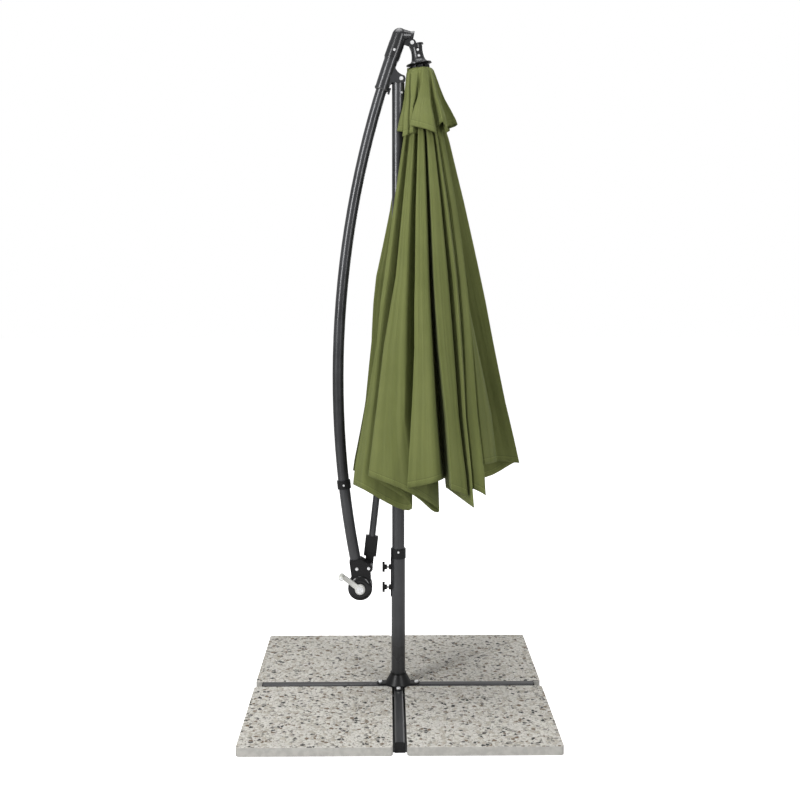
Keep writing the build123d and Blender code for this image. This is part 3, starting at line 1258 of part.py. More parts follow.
with BuildPart() as stretchers:
    for angle in RIB_ANGLES:
        head = rib_point(angle, STRETCHER_TOP_Z, (RIB_D + STRETCHER_D) / 2 + CLEAR)
        foot_x, foot_y = polar(RUNNER_R + 2 * CLEAR + STRETCHER_D / 2, angle)
        foot = Vector(axis_x(RUNNER_Z) + foot_x, foot_y, RUNNER_Z - 10)
        side = Vector(*polar(1, angle + 90), 0)
        with BuildSketch(Plane(origin=head, x_dir=side, z_dir=foot - head)):
            Rectangle(RIB_W, STRETCHER_D)
        extrude(amount=(foot - head).length)
stretchers.part.label = "stretchers"
export_step(stretchers.part, "parts/stretchers.step")

with BuildPart() as runner:
    with BuildSketch(Plane(origin=(axis_x(RUNNER_Z), 0, RUNNER_Z - 12))):
        Circle(RUNNER_R)
    extrude(amount=24)
    with BuildSketch(Plane(origin=(axis_x(RUNNER_Z), 0, RUNNER_Z - 34))):
        Circle(17)
    extrude(amount=70)
    with BuildSketch(Plane(origin=(axis_x(RUNNER_Z), 0, RUNNER_Z - 2))):
        Circle(CABLE_R + 2.5)
    extrude(amount=42, mode=Mode.SUBTRACT)
runner.part.label = "runner"
export_step(runner.part, "parts/runner.step")

with BuildPart() as lift_cable_hub:
    leave = Vector(ELBOW_PIN[0], 0, ELBOW_PIN[1]) + PULLEY_PITCH * CROWN_OUT
    turn = CROWN_ORIGIN - (CROWN_FOOT - 6) * CROWN_UP
    with BuildLine(Plane.XZ):
        FilletPolyline((leave.X, leave.Z), (turn.X, turn.Z), (axis_x(RUNNER_Z), RUNNER_Z), radius=300)
    with BuildSketch(Plane(origin=leave, z_dir=-CROWN_UP)):
        Circle(CABLE_R)
    sweep()
lift_cable_hub.part.label = "lift_cable_hub"
export_step(lift_cable_hub.part, "parts/lift_cable_hub.step")
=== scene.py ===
"""Looks of a closed cantilever umbrella on a slab-weighted cross foot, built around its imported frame."""

import json
import logging
import math
from dataclasses import dataclass, field
from enum import Enum
from typing import Any, Sequence

import bpy
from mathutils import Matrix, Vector

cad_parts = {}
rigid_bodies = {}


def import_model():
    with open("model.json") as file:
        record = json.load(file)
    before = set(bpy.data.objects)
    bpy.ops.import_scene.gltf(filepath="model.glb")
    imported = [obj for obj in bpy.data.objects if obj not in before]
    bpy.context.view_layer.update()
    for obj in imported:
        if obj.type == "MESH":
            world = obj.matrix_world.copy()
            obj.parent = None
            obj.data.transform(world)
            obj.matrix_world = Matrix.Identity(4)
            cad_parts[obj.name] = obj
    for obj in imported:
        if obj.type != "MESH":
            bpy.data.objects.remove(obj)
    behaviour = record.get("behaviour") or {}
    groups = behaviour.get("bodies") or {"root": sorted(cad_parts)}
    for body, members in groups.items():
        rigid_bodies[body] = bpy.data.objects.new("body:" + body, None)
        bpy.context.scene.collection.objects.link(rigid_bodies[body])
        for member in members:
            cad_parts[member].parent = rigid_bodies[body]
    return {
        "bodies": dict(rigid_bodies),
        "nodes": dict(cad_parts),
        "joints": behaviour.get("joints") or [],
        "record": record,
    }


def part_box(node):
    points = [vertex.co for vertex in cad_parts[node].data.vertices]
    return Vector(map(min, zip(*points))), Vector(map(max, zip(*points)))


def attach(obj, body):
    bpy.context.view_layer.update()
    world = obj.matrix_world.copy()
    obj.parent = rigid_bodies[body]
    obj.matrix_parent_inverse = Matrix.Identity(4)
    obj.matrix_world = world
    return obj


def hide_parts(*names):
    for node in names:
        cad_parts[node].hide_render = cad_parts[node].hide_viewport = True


LOG = logging.getLogger("umbrella")
MM = 0.001
CLOTH_MAP = "cloth"

Colour = tuple[float, float, float]
Point = tuple[float, float]
Row = tuple[float, float, float, float, float, float]


# ---------------------------------------------------------------- shader maths
class Sock:
    """A node's output that Python operators can work on."""

    def __init__(self, maker: "Maker", socket: Any) -> None:
        """Keeps the socket and the maker that owns its node tree."""
        self.maker = maker
        self.socket = socket

    def _math(self, kind: str, *values: Any) -> "Sock":
        """Adds one Math node.

        Args:
            kind: the Math node's operation.
            values: its inputs, numbers or Socks.

        Returns:
            The node's value.
        """
        return self.maker.node("ShaderNodeMath", {"operation": kind}, dict(enumerate(values)))

    def __add__(self, other: Any) -> "Sock":
        """Self plus other."""
        return self._math("ADD", self, other)

    def __sub__(self, other: Any) -> "Sock":
        """Self minus other."""
        return self._math("SUBTRACT", self, other)

    def __mul__(self, other: Any) -> "Sock":
        """Self times other."""
        return self._math("MULTIPLY", self, other)

    def __gt__(self, other: Any) -> "Sock":
        """1 where self is over other."""
        return self._math("GREATER_THAN", self, other)

    def __lt__(self, other: Any) -> "Sock":
        """1 where self is under other."""
        return self._math("LESS_THAN", self, other)

    def sine(self) -> "Sock":
        """The sine of self, in radians."""
        return self._math("SINE", self)

    def size(self) -> "Sock":
        """Self without its sign."""
        return self._math("ABSOLUTE", self)

    def most(self, other: Any) -> "Sock":
        """The larger of self and other."""
        return self._math("MAXIMUM", self, other)

    def ramp(self, low: float, high: float, start: float = 0.0, end: float = 1.0) -> "Sock":
        """Self mapped smoothly from low..high to start..end and clamped there.

        Args:
            low: value that gives start.
            high: value that gives end.
            start: result at low.
            end: result at high.

        Returns:
            The mapped value.
        """
        return self.maker.node(
            "ShaderNodeMapRange",
            {"interpolation_type": "SMOOTHSTEP"},
            {"Value": self, "From Min": low, "From Max": high, "To Min": start, "To Max": end},
        )


class Maker:
    """Builds one node material on a Principled shader."""

    def __init__(self, name: str) -> None:
        """Makes an empty material with its shader and output.

        Args:
            name: the material's name.
        """
        self.material = bpy.data.materials.new(name)
        self.material.use_nodes = True
        self.tree = self.material.node_tree
        self.tree.nodes.clear()
        self.output = self.tree.nodes.new("ShaderNodeOutputMaterial")
        self.shader = self.tree.nodes.new("ShaderNodeBsdfPrincipled")
        self.tree.links.new(self.shader.outputs["BSDF"], self.output.inputs["Surface"])

    def node(
        self, kind: str, settings: dict[str, Any] | None = None,
        inputs: dict[Any, Any] | None = None, out: Any = 0,
    ) -> Sock:
        """Adds any node.

        Args:
            kind: the node's type name.
            settings: properties that are set first.
            inputs: values or Socks by input name or number.
            out: which output to return.

        Returns:
            That output.
        """
        made = self.tree.nodes.new(kind)
        for key, value in (settings or {}).items():
            setattr(made, key, value)
        for key, value in (inputs or {}).items():
            self.plug(made.inputs[key], value)
        return Sock(self, made.outputs[out])

    def plug(self, target: Any, value: Any) -> None:
        """Links a Sock to an input, or sets the input's own value.

        Args:
            target: the input.
            value: a Sock, a number, a vector or a colour.
        """
        if isinstance(value, Sock):
            self.tree.links.new(value.socket, target)
        elif target.type == "RGBA" and len(value) == 3:
            target.default_value = (*value, 1.0)
        else:
            target.default_value = value

    def place(self, scale: Sequence[float] = (1, 1, 1)) -> Sock:
        """Object coordinates, stretched by scale."""
        spot = self.node("ShaderNodeTexCoord", out="Object")
        return self.node("ShaderNodeMapping", {}, {"Vector": spot, "Scale": tuple(scale)})

    def parts(self, vector: Sock) -> tuple[Sock, Sock, Sock]:
        """The x, y and z of a vector."""
        made = self.tree.nodes.new("ShaderNodeSeparateXYZ")
        self.plug(made.inputs[0], vector)
        return Sock(self, made.outputs[0]), Sock(self, made.outputs[1]), Sock(self, made.outputs[2])

    def cloth_map(self) -> tuple[Sock, Sock]:
        """The u and v of a piece's own map, in metres of cloth."""
        return self.parts(self.node("ShaderNodeUVMap", {"uv_map": CLOTH_MAP}))[:2]

    def noise(self, scale: float, detail: float = 3.0, at: Sock | None = None, out: Any = 0) -> Sock:
        """Noise from 0 to 1 at a number of lumps a metre."""
        return self.node(
            "ShaderNodeTexNoise", {}, {"Vector": at or self.place(), "Scale": scale, "Detail": detail}, out
        )

    def cells(self, scale: float, at: Sock | None = None, feature: str = "F1", out: Any = "Distance") -> Sock:
        """A Voronoi pattern at a number of cells a metre."""
        return self.node(
            "ShaderNodeTexVoronoi", {"feature": feature}, {"Vector": at or self.place(), "Scale": scale}, out
        )

    def mix(self, share: Any, first: Any, second: Any) -> Sock:
        """A colour between two others.

        Args:
            share: 0 for all first, 1 for all second.
            first: one colour, or a Sock.
            second: the other one.

        Returns:
            The mixed colour.
        """
        made = self.tree.nodes.new("ShaderNodeMix")
        made.data_type = "RGBA"
        for target, value in ((made.inputs[0], share), (made.inputs[6], first), (made.inputs[7], second)):
            self.plug(target, value)
        return Sock(self, made.outputs[2])

    def bands(self, share: Any, stops: Sequence[tuple[float, Colour]]) -> Sock:
        """A colour ramp with hard steps at its stops.

        Args:
            share: where to read it, from 0 to 1.
            stops: where each colour starts, and the colour.

        Returns:
            The colour there.
        """
        made = self.tree.nodes.new("ShaderNodeValToRGB")
        ramp = made.color_ramp
        ramp.interpolation = "CONSTANT"
        while len(ramp.elements) < len(stops):
            ramp.elements.new(1.0)
        for stop, (at, tone) in zip(ramp.elements, stops):
            stop.position = at
            stop.color = (*tone, 1.0)
        self.plug(made.inputs[0], share)
        return Sock(self, made.outputs[0])

    def dress(self, **inputs: Any) -> None:
        """Sets or links the shader's own inputs; underscores stand for spaces."""
        for key, value in inputs.items():
            self.plug(self.shader.inputs[key.replace("_", " ")], value)

    def bump(self, height: Sock, depth: float) -> None:
        """Feeds the shader's Normal from a height in units of depth metres."""
        self.dress(
            Normal=self.node("ShaderNodeBump", {}, {"Height": height, "Distance": depth, "Strength": 1.0})
        )


# ---------------------------------------------------------------- finishes
class Slot(Enum):
    """The record's material slots."""

    FRAME = "frame_metal"
    CONCRETE = "concrete"
    CASTING = "cast_black"
    PLASTIC = "black_plastic"
    DRUM = "drum_gloss"
    ZINC = "zinc"
    CABLE = "steel_cable"
    NYLON = "nylon"
    LEVER = "lever_plastic"
    GRIP = "grip_plastic"
    CLOTH = "cloth"


@dataclass(frozen=True)
class Coating:
    """Powder coat, cast paint or moulded plastic: one tone with a fine grain.

    Attributes:
        name: the material's name.
        tone: its mean colour.
        rough: its mean roughness.
        grain: depth of the grain, in metres.
        grain_scale: lumps of grain a metre.
        metallic: how much it is like bare metal.
        coat: weight of the clear coat.
        wear: how far its tone varies over the surface.
        shine: strength of its reflection, 0.5 as a rule.
        cloud_scale: patches of lighter and darker tone a metre.
        cloud_rough: how much smoother and rougher those patches are.
        grain_rough: how far the grain changes the roughness.
        coat_rough: roughness of the clear coat.
    """

    name: str
    tone: Colour
    rough: float
    grain: float
    grain_scale: float
    metallic: float = 0.0
    coat: float = 0.0
    wear: float = 0.15
    shine: float = 0.5
    cloud_scale: float = 9.0
    cloud_rough: tuple[float, float] = (0.05, 0.06)
    grain_rough: float = 0.05
    coat_rough: float = 0.12

    def build(self) -> bpy.types.Material:
        """Makes the material.

        Returns:
            The coated material.
        """
        maker = Maker(self.name)
        broad = maker.noise(self.cloud_scale, 4.0)
        fine = maker.noise(self.grain_scale, 2.0)
        lighter = tuple(min(1.0, c * (1 + self.wear) + 0.004) for c in self.tone)
        darker = tuple(c * (1 - self.wear) for c in self.tone)
        smoother, rougher = self.cloud_rough
        patches = broad.ramp(0.25, 0.75, self.rough - smoother, self.rough + rougher)
        maker.dress(
            Base_Color=maker.mix(broad.ramp(0.3, 0.7), darker, lighter),
            Roughness=patches + (fine - 0.5) * self.grain_rough,
            Metallic=self.metallic,
            Specular_IOR_Level=self.shine,
            Coat_Weight=self.coat,
            Coat_Roughness=self.coat_rough,
        )
        maker.bump(fine, self.grain)
        return maker.material


@dataclass(frozen=True)
class Zinc:
    """Bright plated steel with fine turning marks.

    Attributes:
        name: the material's name.
        tone: its brighter colour.
        dull: the duller patches' share of that brightness.
        metallic: how much it is like bare metal.
        rough: roughness at and between the marks.
        patch_scale: dull patches a metre.
        mark_scale: turning marks a metre.
        mark_depth: their depth, in metres.
    """

    name: str = "bright_zinc"
    tone: Colour = (0.9, 0.905, 0.91)
    dull: float = 0.8
    metallic: float = 0.55
    rough: tuple[float, float] = (0.26, 0.42)
    patch_scale: float = 160.0
    mark_scale: float = 900.0
    mark_depth: float = 0.00004

    def build(self) -> bpy.types.Material:
        """Makes the material.

        Returns:
            The plated steel.
        """
        maker = Maker(self.name)
        cloud = maker.noise(self.patch_scale, 3.0).ramp(0.35, 0.65)
        marks = maker.noise(self.mark_scale, 1.0, at=maker.place((1, 1, 6)))
        maker.dress(
            Base_Color=maker.mix(cloud, tuple(c * self.dull for c in self.tone), self.tone),
            Metallic=self.metallic,
            Roughness=marks.ramp(0.2, 0.8, *self.rough),
        )
        maker.bump(marks, self.mark_depth)
        return maker.material


@dataclass(frozen=True)
class Rope:
    """Twisted steel cable.

    Attributes:
        name: the material's name.
        groove: colour between the strands.
        strand: colour of the strands.
        rough: their roughness.
        strand_scale: strands a metre.
        strand_depth: depth of the grooves, in metres.
    """

    name: str = "steel_rope"
    groove: Colour = (0.16, 0.16, 0.17)
    strand: Colour = (0.6, 0.6, 0.6)
    rough: float = 0.4
    strand_scale: float = 700.0
    strand_depth: float = 0.0003

    def build(self) -> bpy.types.Material:
        """Makes the material.

        Returns:
            The cable's steel with its strands.
        """
        maker = Maker(self.name)
        strands = maker.noise(self.strand_scale, 1.0, at=maker.place((1, 1, 0.3)))
        maker.dress(
            Base_Color=maker.mix(strands.ramp(0.4, 0.6), self.groove, self.strand),
            Metallic=1.0,
            Roughness=self.rough,
        )
        maker.bump(strands, self.strand_depth)
        return maker.material


@dataclass(frozen=True)
class WashedConcrete:
    """Pavers with exposed stones in a pale binder, smooth at their moulded sides.

    Attributes:
        name: the material's name.
        binder: colour of the cement between the stones.
        stones: colours of the stones, each from its share of 0 to 1 upwards.
        side: darker and lighter colour of the moulded sides.
        stone_scale: large stones a metre.
        grit_scale: small stones a metre.
        bend_scale: bends in the stones' outlines a metre.
        bend: size of those bends, in metres.
        grit_cover: share of the binder that small stones cover.
        dark: the darker binder's share of its brightness.
        rough: lowest and highest roughness.
        relief: depth of the surface, in metres.
    """

    name: str = "washed_concrete"
    binder: Colour = (0.60, 0.57, 0.51)
    stones: tuple[tuple[float, Colour], ...] = (
        (0.0, (0.72, 0.70, 0.65)),
        (0.24, (0.52, 0.48, 0.41)),
        (0.36, (0.78, 0.76, 0.71)),
        (0.56, (0.30, 0.29, 0.26)),
        (0.63, (0.76, 0.74, 0.68)),
        (0.80, (0.20, 0.15, 0.10)),
        (0.86, (0.58, 0.54, 0.47)),
        (0.925, (0.04, 0.04, 0.036)),
    )
    side: tuple[Colour, Colour] = ((0.38, 0.37, 0.345), (0.455, 0.445, 0.415))
    stone_scale: float = 78.0
    grit_scale: float = 215.0
    bend_scale: float = 130.0
    bend: float = 0.006
    grit_cover: float = 0.85
    dark: float = 0.82
    rough: tuple[float, float] = (0.7, 0.92)
    relief: float = 0.0022

    def stone_field(self, maker: Maker, scale: float, spot: Sock) -> tuple[Sock, Sock]:
        """One size of stones.

        Args:
            maker: the material's maker.
            scale: stones a metre.
            spot: the coordinates to read.

        Returns:
            The stones' colours, and the distance to their edges.
        """
        pick = maker.node("ShaderNodeSeparateColor", {}, {0: maker.cells(scale, spot, "F1", "Color")})
        return maker.bands(pick, self.stones), maker.cells(scale, spot, "DISTANCE_TO_EDGE")

    def build(self) -> bpy.types.Material:
        """Makes the material.

        Returns:
            The paver's concrete.
        """
        maker = Maker(self.name)
        spot = maker.node(
            "ShaderNodeVectorMath", {"operation": "MULTIPLY_ADD"},
            {0: maker.noise(self.bend_scale, 1.0, out="Color"), 1: (self.bend,) * 3, 2: maker.place()},
        )
        upward = maker.parts(maker.node("ShaderNodeNewGeometry", out="Normal"))[2].ramp(0.35, 0.8)
        gravel, edge = self.stone_field(maker, self.stone_scale, spot)
        grit, grit_edge = self.stone_field(maker, self.grit_scale, spot)
        grit_share = grit_edge.ramp(0.04, 0.12)
        shade = maker.noise(14.0, 4.0).ramp(0.3, 0.7)
        binder = maker.mix(shade, tuple(c * self.dark for c in self.binder), self.binder)
        fill = maker.mix(grit_share * self.grit_cover, binder, grit)
        surface = maker.mix(edge.ramp(0.05, 0.14), fill, gravel)
        side = maker.mix(maker.noise(60.0, 5.0).ramp(0.35, 0.65), *self.side)
        maker.dress(
            Base_Color=maker.mix(upward, side, surface),
            Roughness=maker.noise(300.0, 2.0).ramp(0.2, 0.8, *self.rough),
        )
        washed = (edge.ramp(0.02, 0.3) + grit_share * 0.35 + maker.noise(700.0, 2.0) * 0.25) * upward
        maker.bump(washed + maker.noise(220.0, 4.0) * 0.35, self.relief)
        return maker.material


@dataclass(frozen=True)
class OliveCloth:
    """Dyed polyester canopy cloth: plain weave, soft mottling, fine pleats whose shade is painted into the
    colour, and a sewn hem.

    Attributes:
        name: the material's name.
        tone: the darker colour.
        pale: the lighter colour.
        thread: size of a pair of threads, in metres.
        cloud_scale: broad patches a metre.
        slub_scale: thick places in the yarn a metre.
        streaks: fine pleats a metre, across the cloth and down it; they bump the cloth and also paint their
            shade into its colour.
        shares: how much patches, yarn, the pleats' painted shade and weave change the colour.
        seam_at: height of the seam over the hem, in metres.
        seam_half: half the seam's width, in metres.
        turned_at: height of the turned-in edge over the hem, in metres.
        turned_half: half the edge's width, in metres.
        stitch_step: length of a stitch and its gap, in metres.
        stitch_gap: sine over which a stitch shows.
        sheen: strength of the cloth's sheen.
        sheen_tint: its colour.
        rough: lowest and highest roughness.
        relief: depth of the cloth's bumps, in metres.
    """

    name: str = "olive_cloth"
    tone: Colour = (0.104, 0.122, 0.031)
    pale: Colour = (0.158, 0.178, 0.056)
    thread: float = 0.0011
    cloud_scale: float = 7.0
    slub_scale: float = 60.0
    streaks: tuple[float, float] = (34.0, 1.1)
    shares: tuple[float, float, float, float] = (0.25, 0.15, 0.5, 0.1)
    seam_at: float = 0.018
    seam_half: float = 0.0009
    turned_at: float = 0.022
    turned_half: float = 0.0012
    stitch_step: float = 0.006
    stitch_gap: float = -0.35
    sheen: float = 0.1
    sheen_tint: Colour = (0.75, 0.85, 0.55)
    rough: tuple[float, float] = (0.72, 0.88)
    relief: float = 0.00018

    def build(self) -> bpy.types.Material:
        """Makes the material.

        Returns:
            The canopy's cloth.
        """
        maker = Maker(self.name)
        across, down = maker.cloth_map()
        turn = 2 * math.pi / self.thread
        weave = (across * turn).sine() * (down * turn).sine()
        cloud = maker.noise(self.cloud_scale, 4.0)
        slub = maker.noise(self.slub_scale, 2.0, at=maker.place((1, 1, 0.25)))
        spot = maker.node(
            "ShaderNodeCombineXYZ", {}, {0: across * self.streaks[0], 1: down * self.streaks[1]}
        )
        # fine pleats in streaks down the cloth: real bump below, and painted shade in the colour here
        pleat_bump_and_shade = maker.noise(1.0, 2.0, at=spot)
        of_cloud, of_slub, of_pleat_shade, of_weave = self.shares
        mottle = cloud.ramp(0.3, 0.7) * of_cloud + slub.ramp(0.3, 0.7) * of_slub
        tint = mottle + pleat_bump_and_shade.ramp(0.3, 0.7) * of_pleat_shade + weave * of_weave
        thread_up = (across * (2 * math.pi / self.stitch_step)).sine() > self.stitch_gap
        stitch = ((down - self.seam_at).size() < self.seam_half) * thread_up
        turned = (down - self.turned_at).size() < self.turned_half
        body = maker.mix(tint, self.tone, self.pale)
        body = maker.mix(turned * 0.35, body, tuple(c * 0.6 for c in self.tone))
        body = maker.mix(stitch * 0.6, body, tuple(min(1.0, c * 1.5) for c in self.pale))
        maker.dress(
            Base_Color=body,
            Roughness=slub.ramp(0.2, 0.8, *self.rough),
            Sheen_Weight=self.sheen,
            Sheen_Roughness=0.5,
            Sheen_Tint=self.sheen_tint,
            Specular_IOR_Level=0.3,
        )
        maker.bump(weave * 0.5 + slub * 1.2 - turned * 2.0 + pleat_bump_and_shade * 26.0, self.relief)
        return maker.material


class Finishes:
    """Every material of the umbrella, by its slot."""

    def __init__(self) -> None:
        """Builds the materials once."""
        finishes = {
            Slot.FRAME: Coating(
                "anthracite_coat", (0.034, 0.035, 0.038), 0.3, 0.00001, 1400.0, metallic=0.35, coat=0.25
            ),
            Slot.CASTING: Coating(
                "cast_coat", (0.018, 0.0185, 0.02), 0.3, 0.0001, 900.0, metallic=0.3, coat=0.3, shine=0.4
            ),
            Slot.PLASTIC: Coating("moulded_black", (0.006, 0.006, 0.0065), 0.36, 0.00008, 1100.0, shine=0.22),
            Slot.DRUM: Coating(
                "drum_black", (0.005, 0.005, 0.0055), 0.16, 0.00002, 500.0, coat=0.1, shine=0.3
            ),
            Slot.NYLON: Coating("dark_nylon", (0.09, 0.09, 0.09), 0.5, 0.00005, 800.0),
            Slot.LEVER: Coating("pale_lever", (0.58, 0.58, 0.555), 0.42, 0.00005, 600.0, wear=0.05),
            Slot.GRIP: Coating("clear_grip", (0.66, 0.67, 0.61), 0.25, 0.00003, 500.0, coat=0.3, wear=0.06),
            Slot.ZINC: Zinc(),
            Slot.CABLE: Rope(),
            Slot.CONCRETE: WashedConcrete(),
            Slot.CLOTH: OliveCloth(),
        }
        self.by_slot = {slot: finish.build() for slot, finish in finishes.items()}

    def paint(self, piece: bpy.types.Object, slot: Slot) -> None:
        """Gives a piece the material of a slot, as its only one."""
        piece.data.materials.clear()
        piece.data.materials.append(self.by_slot[slot])


# ---------------------------------------------------------------- cloth
def polar(radius: float, angle: float) -> Point:
    """The point at a radius and an angle in degrees."""
    return radius * math.cos(math.radians(angle)), radius * math.sin(math.radians(angle))


def between(rows: Sequence[Row], height: float) -> Row:
    """A level of the cloth at any height, from the levels above and below it.

    Args:
        rows: levels from the top down, each starting with its height.
        height: the height wanted.

    Returns:
        The level there.
    """
    for upper, lower in zip(rows, rows[1:]):
        if height >= lower[0]:
            share = (upper[0] - height) / (upper[0] - lower[0])
            return tuple(a + (b - a) * share for a, b in zip(upper, lower))
    return rows[-1]


def rounded(corners: Sequence[Point], steps: int) -> list[Point]:
    """A smooth closed line that runs inside its corners, touching each side at its middle.

    Args:
        corners: the corners in order.
        steps: points on the bend at each corner.

    Returns:
        The points of the line.
    """
    line: list[Point] = []
    for k, (x, y) in enumerate(corners):
        (px, py), (nx, ny) = corners[k - 1], corners[(k + 1) % len(corners)]
        start, end = ((px + x) / 2, (py + y) / 2), ((x + nx) / 2, (y + ny) / 2)
        for step in range(steps):
            t = step / steps
            a, b, c = (1 - t) ** 2, 2 * t * (1 - t), t * t
            line.append((a * start[0] + b * x + c * end[0], a * start[1] + b * y + c * end[1]))
    return line


def keyed(values: Sequence[float], share: float) -> float:
    """A value out of a list that is spread evenly from 0 to 1.

    Args:
        values: one or more numbers.
        share: where to read them, from 0 to 1.

    Returns:
        The value there.
    """
    at = min(max(share, 0.0), 1.0) * (len(values) - 1)
    low = min(int(at), max(len(values) - 2, 0))
    high = min(low + 1, len(values) - 1)
    return values[low] + (values[high] - values[low]) * (at - low)


@dataclass(frozen=True)
class Fold:
    """One fold of a cloth, in degrees about the folds' axis.

    Each list is spread evenly from the top of the cloth to its hem. The cloth runs from
    the outer crease over its face, tucks in to the valley behind it, and comes out again
    to the next fold's crease.

    Attributes:
        crease: angle of the outer crease.
        face: angle that the face covers.
        hem: heights of the hem under crease, face end and the valley's two corners, in mm.
        reach: the crease's radius over the row's crease radius.
        shoulder: the face end's radius over the crease's.
        tuck: how far the valley starts back under the face.
        lead: how far the valley ends before the next crease, below 0 beyond it.
        inner: radius where the valley starts, over the row's valley radius.
        back: radius where the valley ends, over the row's valley radius.
    """

    crease: tuple[float, ...]
    face: tuple[float, ...]
    hem: tuple[float, float, float, float]
    reach: tuple[float, ...] = (1.0,)
    shoulder: tuple[float, ...] = (0.94,)
    tuck: tuple[float, ...] = (0.0,)
    lead: tuple[float, ...] = (1.5,)
    inner: tuple[float, ...] = (1.0,)
    back: tuple[float, ...] = (0.96,)


@dataclass(frozen=True)
class FoldedCloth:
    """A cloth that hangs in deep folds round the ribs, open along a slot at the pole.

    Attributes:
        name: the piece's name.
        node: the CAD node that it stands for.
        rows: each a height, the axis x, the crease radius, the valley radius and how far
            the pole slot's floor reaches to the front and to the back, in mm.
        folds: the folds in order, the front end of the slot first.
        slot_x: x of the slot's floor, in mm.
        slot_hem: heights of the hem at the slot's back and front corners, in mm.
        flat: the cut cloth's width and length, in metres; not used.
        flat_area: the cut cloth's area, in square metres; not used.
        levels: rows of faces from top to hem.
        hem_level: height where the folds' lists end, in mm.
        crease_w: width of a crease's bend, in mm.
        cloth_t: the cloth's thickness, in metres.
        steps: points on each bend.
        lean: slope of the top edge.
        lean_fade: depth over which that slope fades, in mm.
        ripple: size of the creases' slow waves, in mm.
        ripple_length: height over which a wave turns by one radian, in mm.
        ripple_shift: how far each fold's wave is ahead of the last, in radians.
        nose: how far from crease to face end the crease's second corner has come.
        bow_at: share of the face's angle at its middle corner.
        bow: how far from crease to face end the radius has come there.
    """

    name: str
    node: str
    rows: tuple[Row, ...]
    folds: tuple[Fold, ...]
    slot_x: float
    slot_hem: tuple[float, float]
    flat: tuple[float, float]
    flat_area: float
    levels: int = 100
    hem_level: float = 800.0
    crease_w: float = 5.0
    cloth_t: float = 0.0011
    steps: int = 4
    lean: float = 0.0
    lean_fade: float = 1.0
    ripple: float = 1.5
    ripple_length: float = 95.0
    ripple_shift: float = 2.3
    nose: float = 0.03
    bow_at: float = 0.62
    bow: float = 0.64

    def corners(self, height: float) -> list[Point]:
        """The fold line's corners at a height, before it is rounded.

        Args:
            height: in millimetres.

        Returns:
            The corners in millimetres, the front end of the slot first.
        """
        _, axis, ridge, valley, front, back = between(self.rows, height)
        top = self.rows[0][0]
        share = min(1.0, (top - height) / (top - self.hem_level))
        points: list[Point] = []
        for k, fold in enumerate(self.folds):
            angle, face = keyed(fold.crease, share), keyed(fold.face, share)
            reach = ridge * keyed(fold.reach, share)
            reach += self.ripple * share * math.sin(height / self.ripple_length + self.ripple_shift * k)
            shoulder = reach * keyed(fold.shoulder, share)
            pinch = min(math.degrees(self.crease_w / reach), face * 0.3)
            points.append(polar(reach, angle))
            points.append(polar(reach + (shoulder - reach) * self.nose, angle + pinch))
            points.append(polar(reach + (shoulder - reach) * self.bow, angle + face * self.bow_at))
            points.append(polar(shoulder, angle + face))
            if k < len(self.folds) - 1:
                ahead = keyed(self.folds[k + 1].crease, share)
                tuck, lead = keyed(fold.tuck, share), keyed(fold.lead, share)
                points.append(polar(valley * keyed(fold.inner, share), angle + face - tuck))
                points.append(polar(valley * keyed(fold.back, share), ahead - lead))
        floor = self.slot_x - axis
        points += [(floor, back), (floor, -front)]
        return [(x + axis, y) for x, y in points]

    def hems(self) -> list[float]:
        """The height of the hem under each corner.

        Returns:
            Heights in millimetres, in the order of corners.
        """
        heights: list[float] = []
        for k, fold in enumerate(self.folds):
            crease, end, under, back = fold.hem
            heights += [crease, crease + (end - crease) * 0.05, crease + (end - crease) * 0.5, end]
            if k < len(self.folds) - 1:
                heights += [under, back]
        return heights + list(self.slot_hem)[::-1]

    def outline(self, height: float) -> list[Point]:
        """The rounded fold line at a height."""
        return rounded(self.corners(height), self.steps)

    def mesh_points(self) -> tuple[list[Vector], int]:
        """Every point of the cloth, row by row from the top.

        Returns:
            The points in millimetres, and how many make one row.
        """
        top = self.rows[0][0]
        hem = [z for _, z in rounded([(0.0, z) for z in self.hems()], self.steps)]
        count = len(hem)
        lines: dict[int, list[Point]] = {}
        points: list[Vector] = []
        for row in range(self.levels + 1):
            share = row / self.levels
            for k in range(count):
                height = top + (hem[k] - top) * share
                key = round(height)
                if key not in lines:
                    lines[key] = self.outline(key)
                x, y = lines[key][k]
                axis = between(self.rows, height)[1]
                tilt = self.lean * (x - axis) * max(0.0, 1 - (top - height) / self.lean_fade)
                points.append(Vector((x, y, height + tilt)))
        return points, count

    def lay_out(self, points: Sequence[Vector], count: int) -> list[tuple[float, float]]:
        """The place of each point on the flat cloth, in metres.

        Args:
            points: the cloth's points, row by row.
            count: how many make one row.

        Returns:
            The distance round the hem and the distance up from it.
        """
        last = self.levels * count
        along = [0.0]
        for k in range(count):
            step = points[last + (k + 1) % count] - points[last + k]
            along.append(along[-1] + math.hypot(step.x, step.y) * MM)
        spots = [(0.0, 0.0)] * len(points)
        for k in range(count):
            length = 0.0
            for row in range(self.levels, -1, -1):
                if row < self.levels:
                    length += (points[row * count + k] - points[(row + 1) * count + k]).length * MM
                spots[row * count + k] = (along[k], length)
        return spots

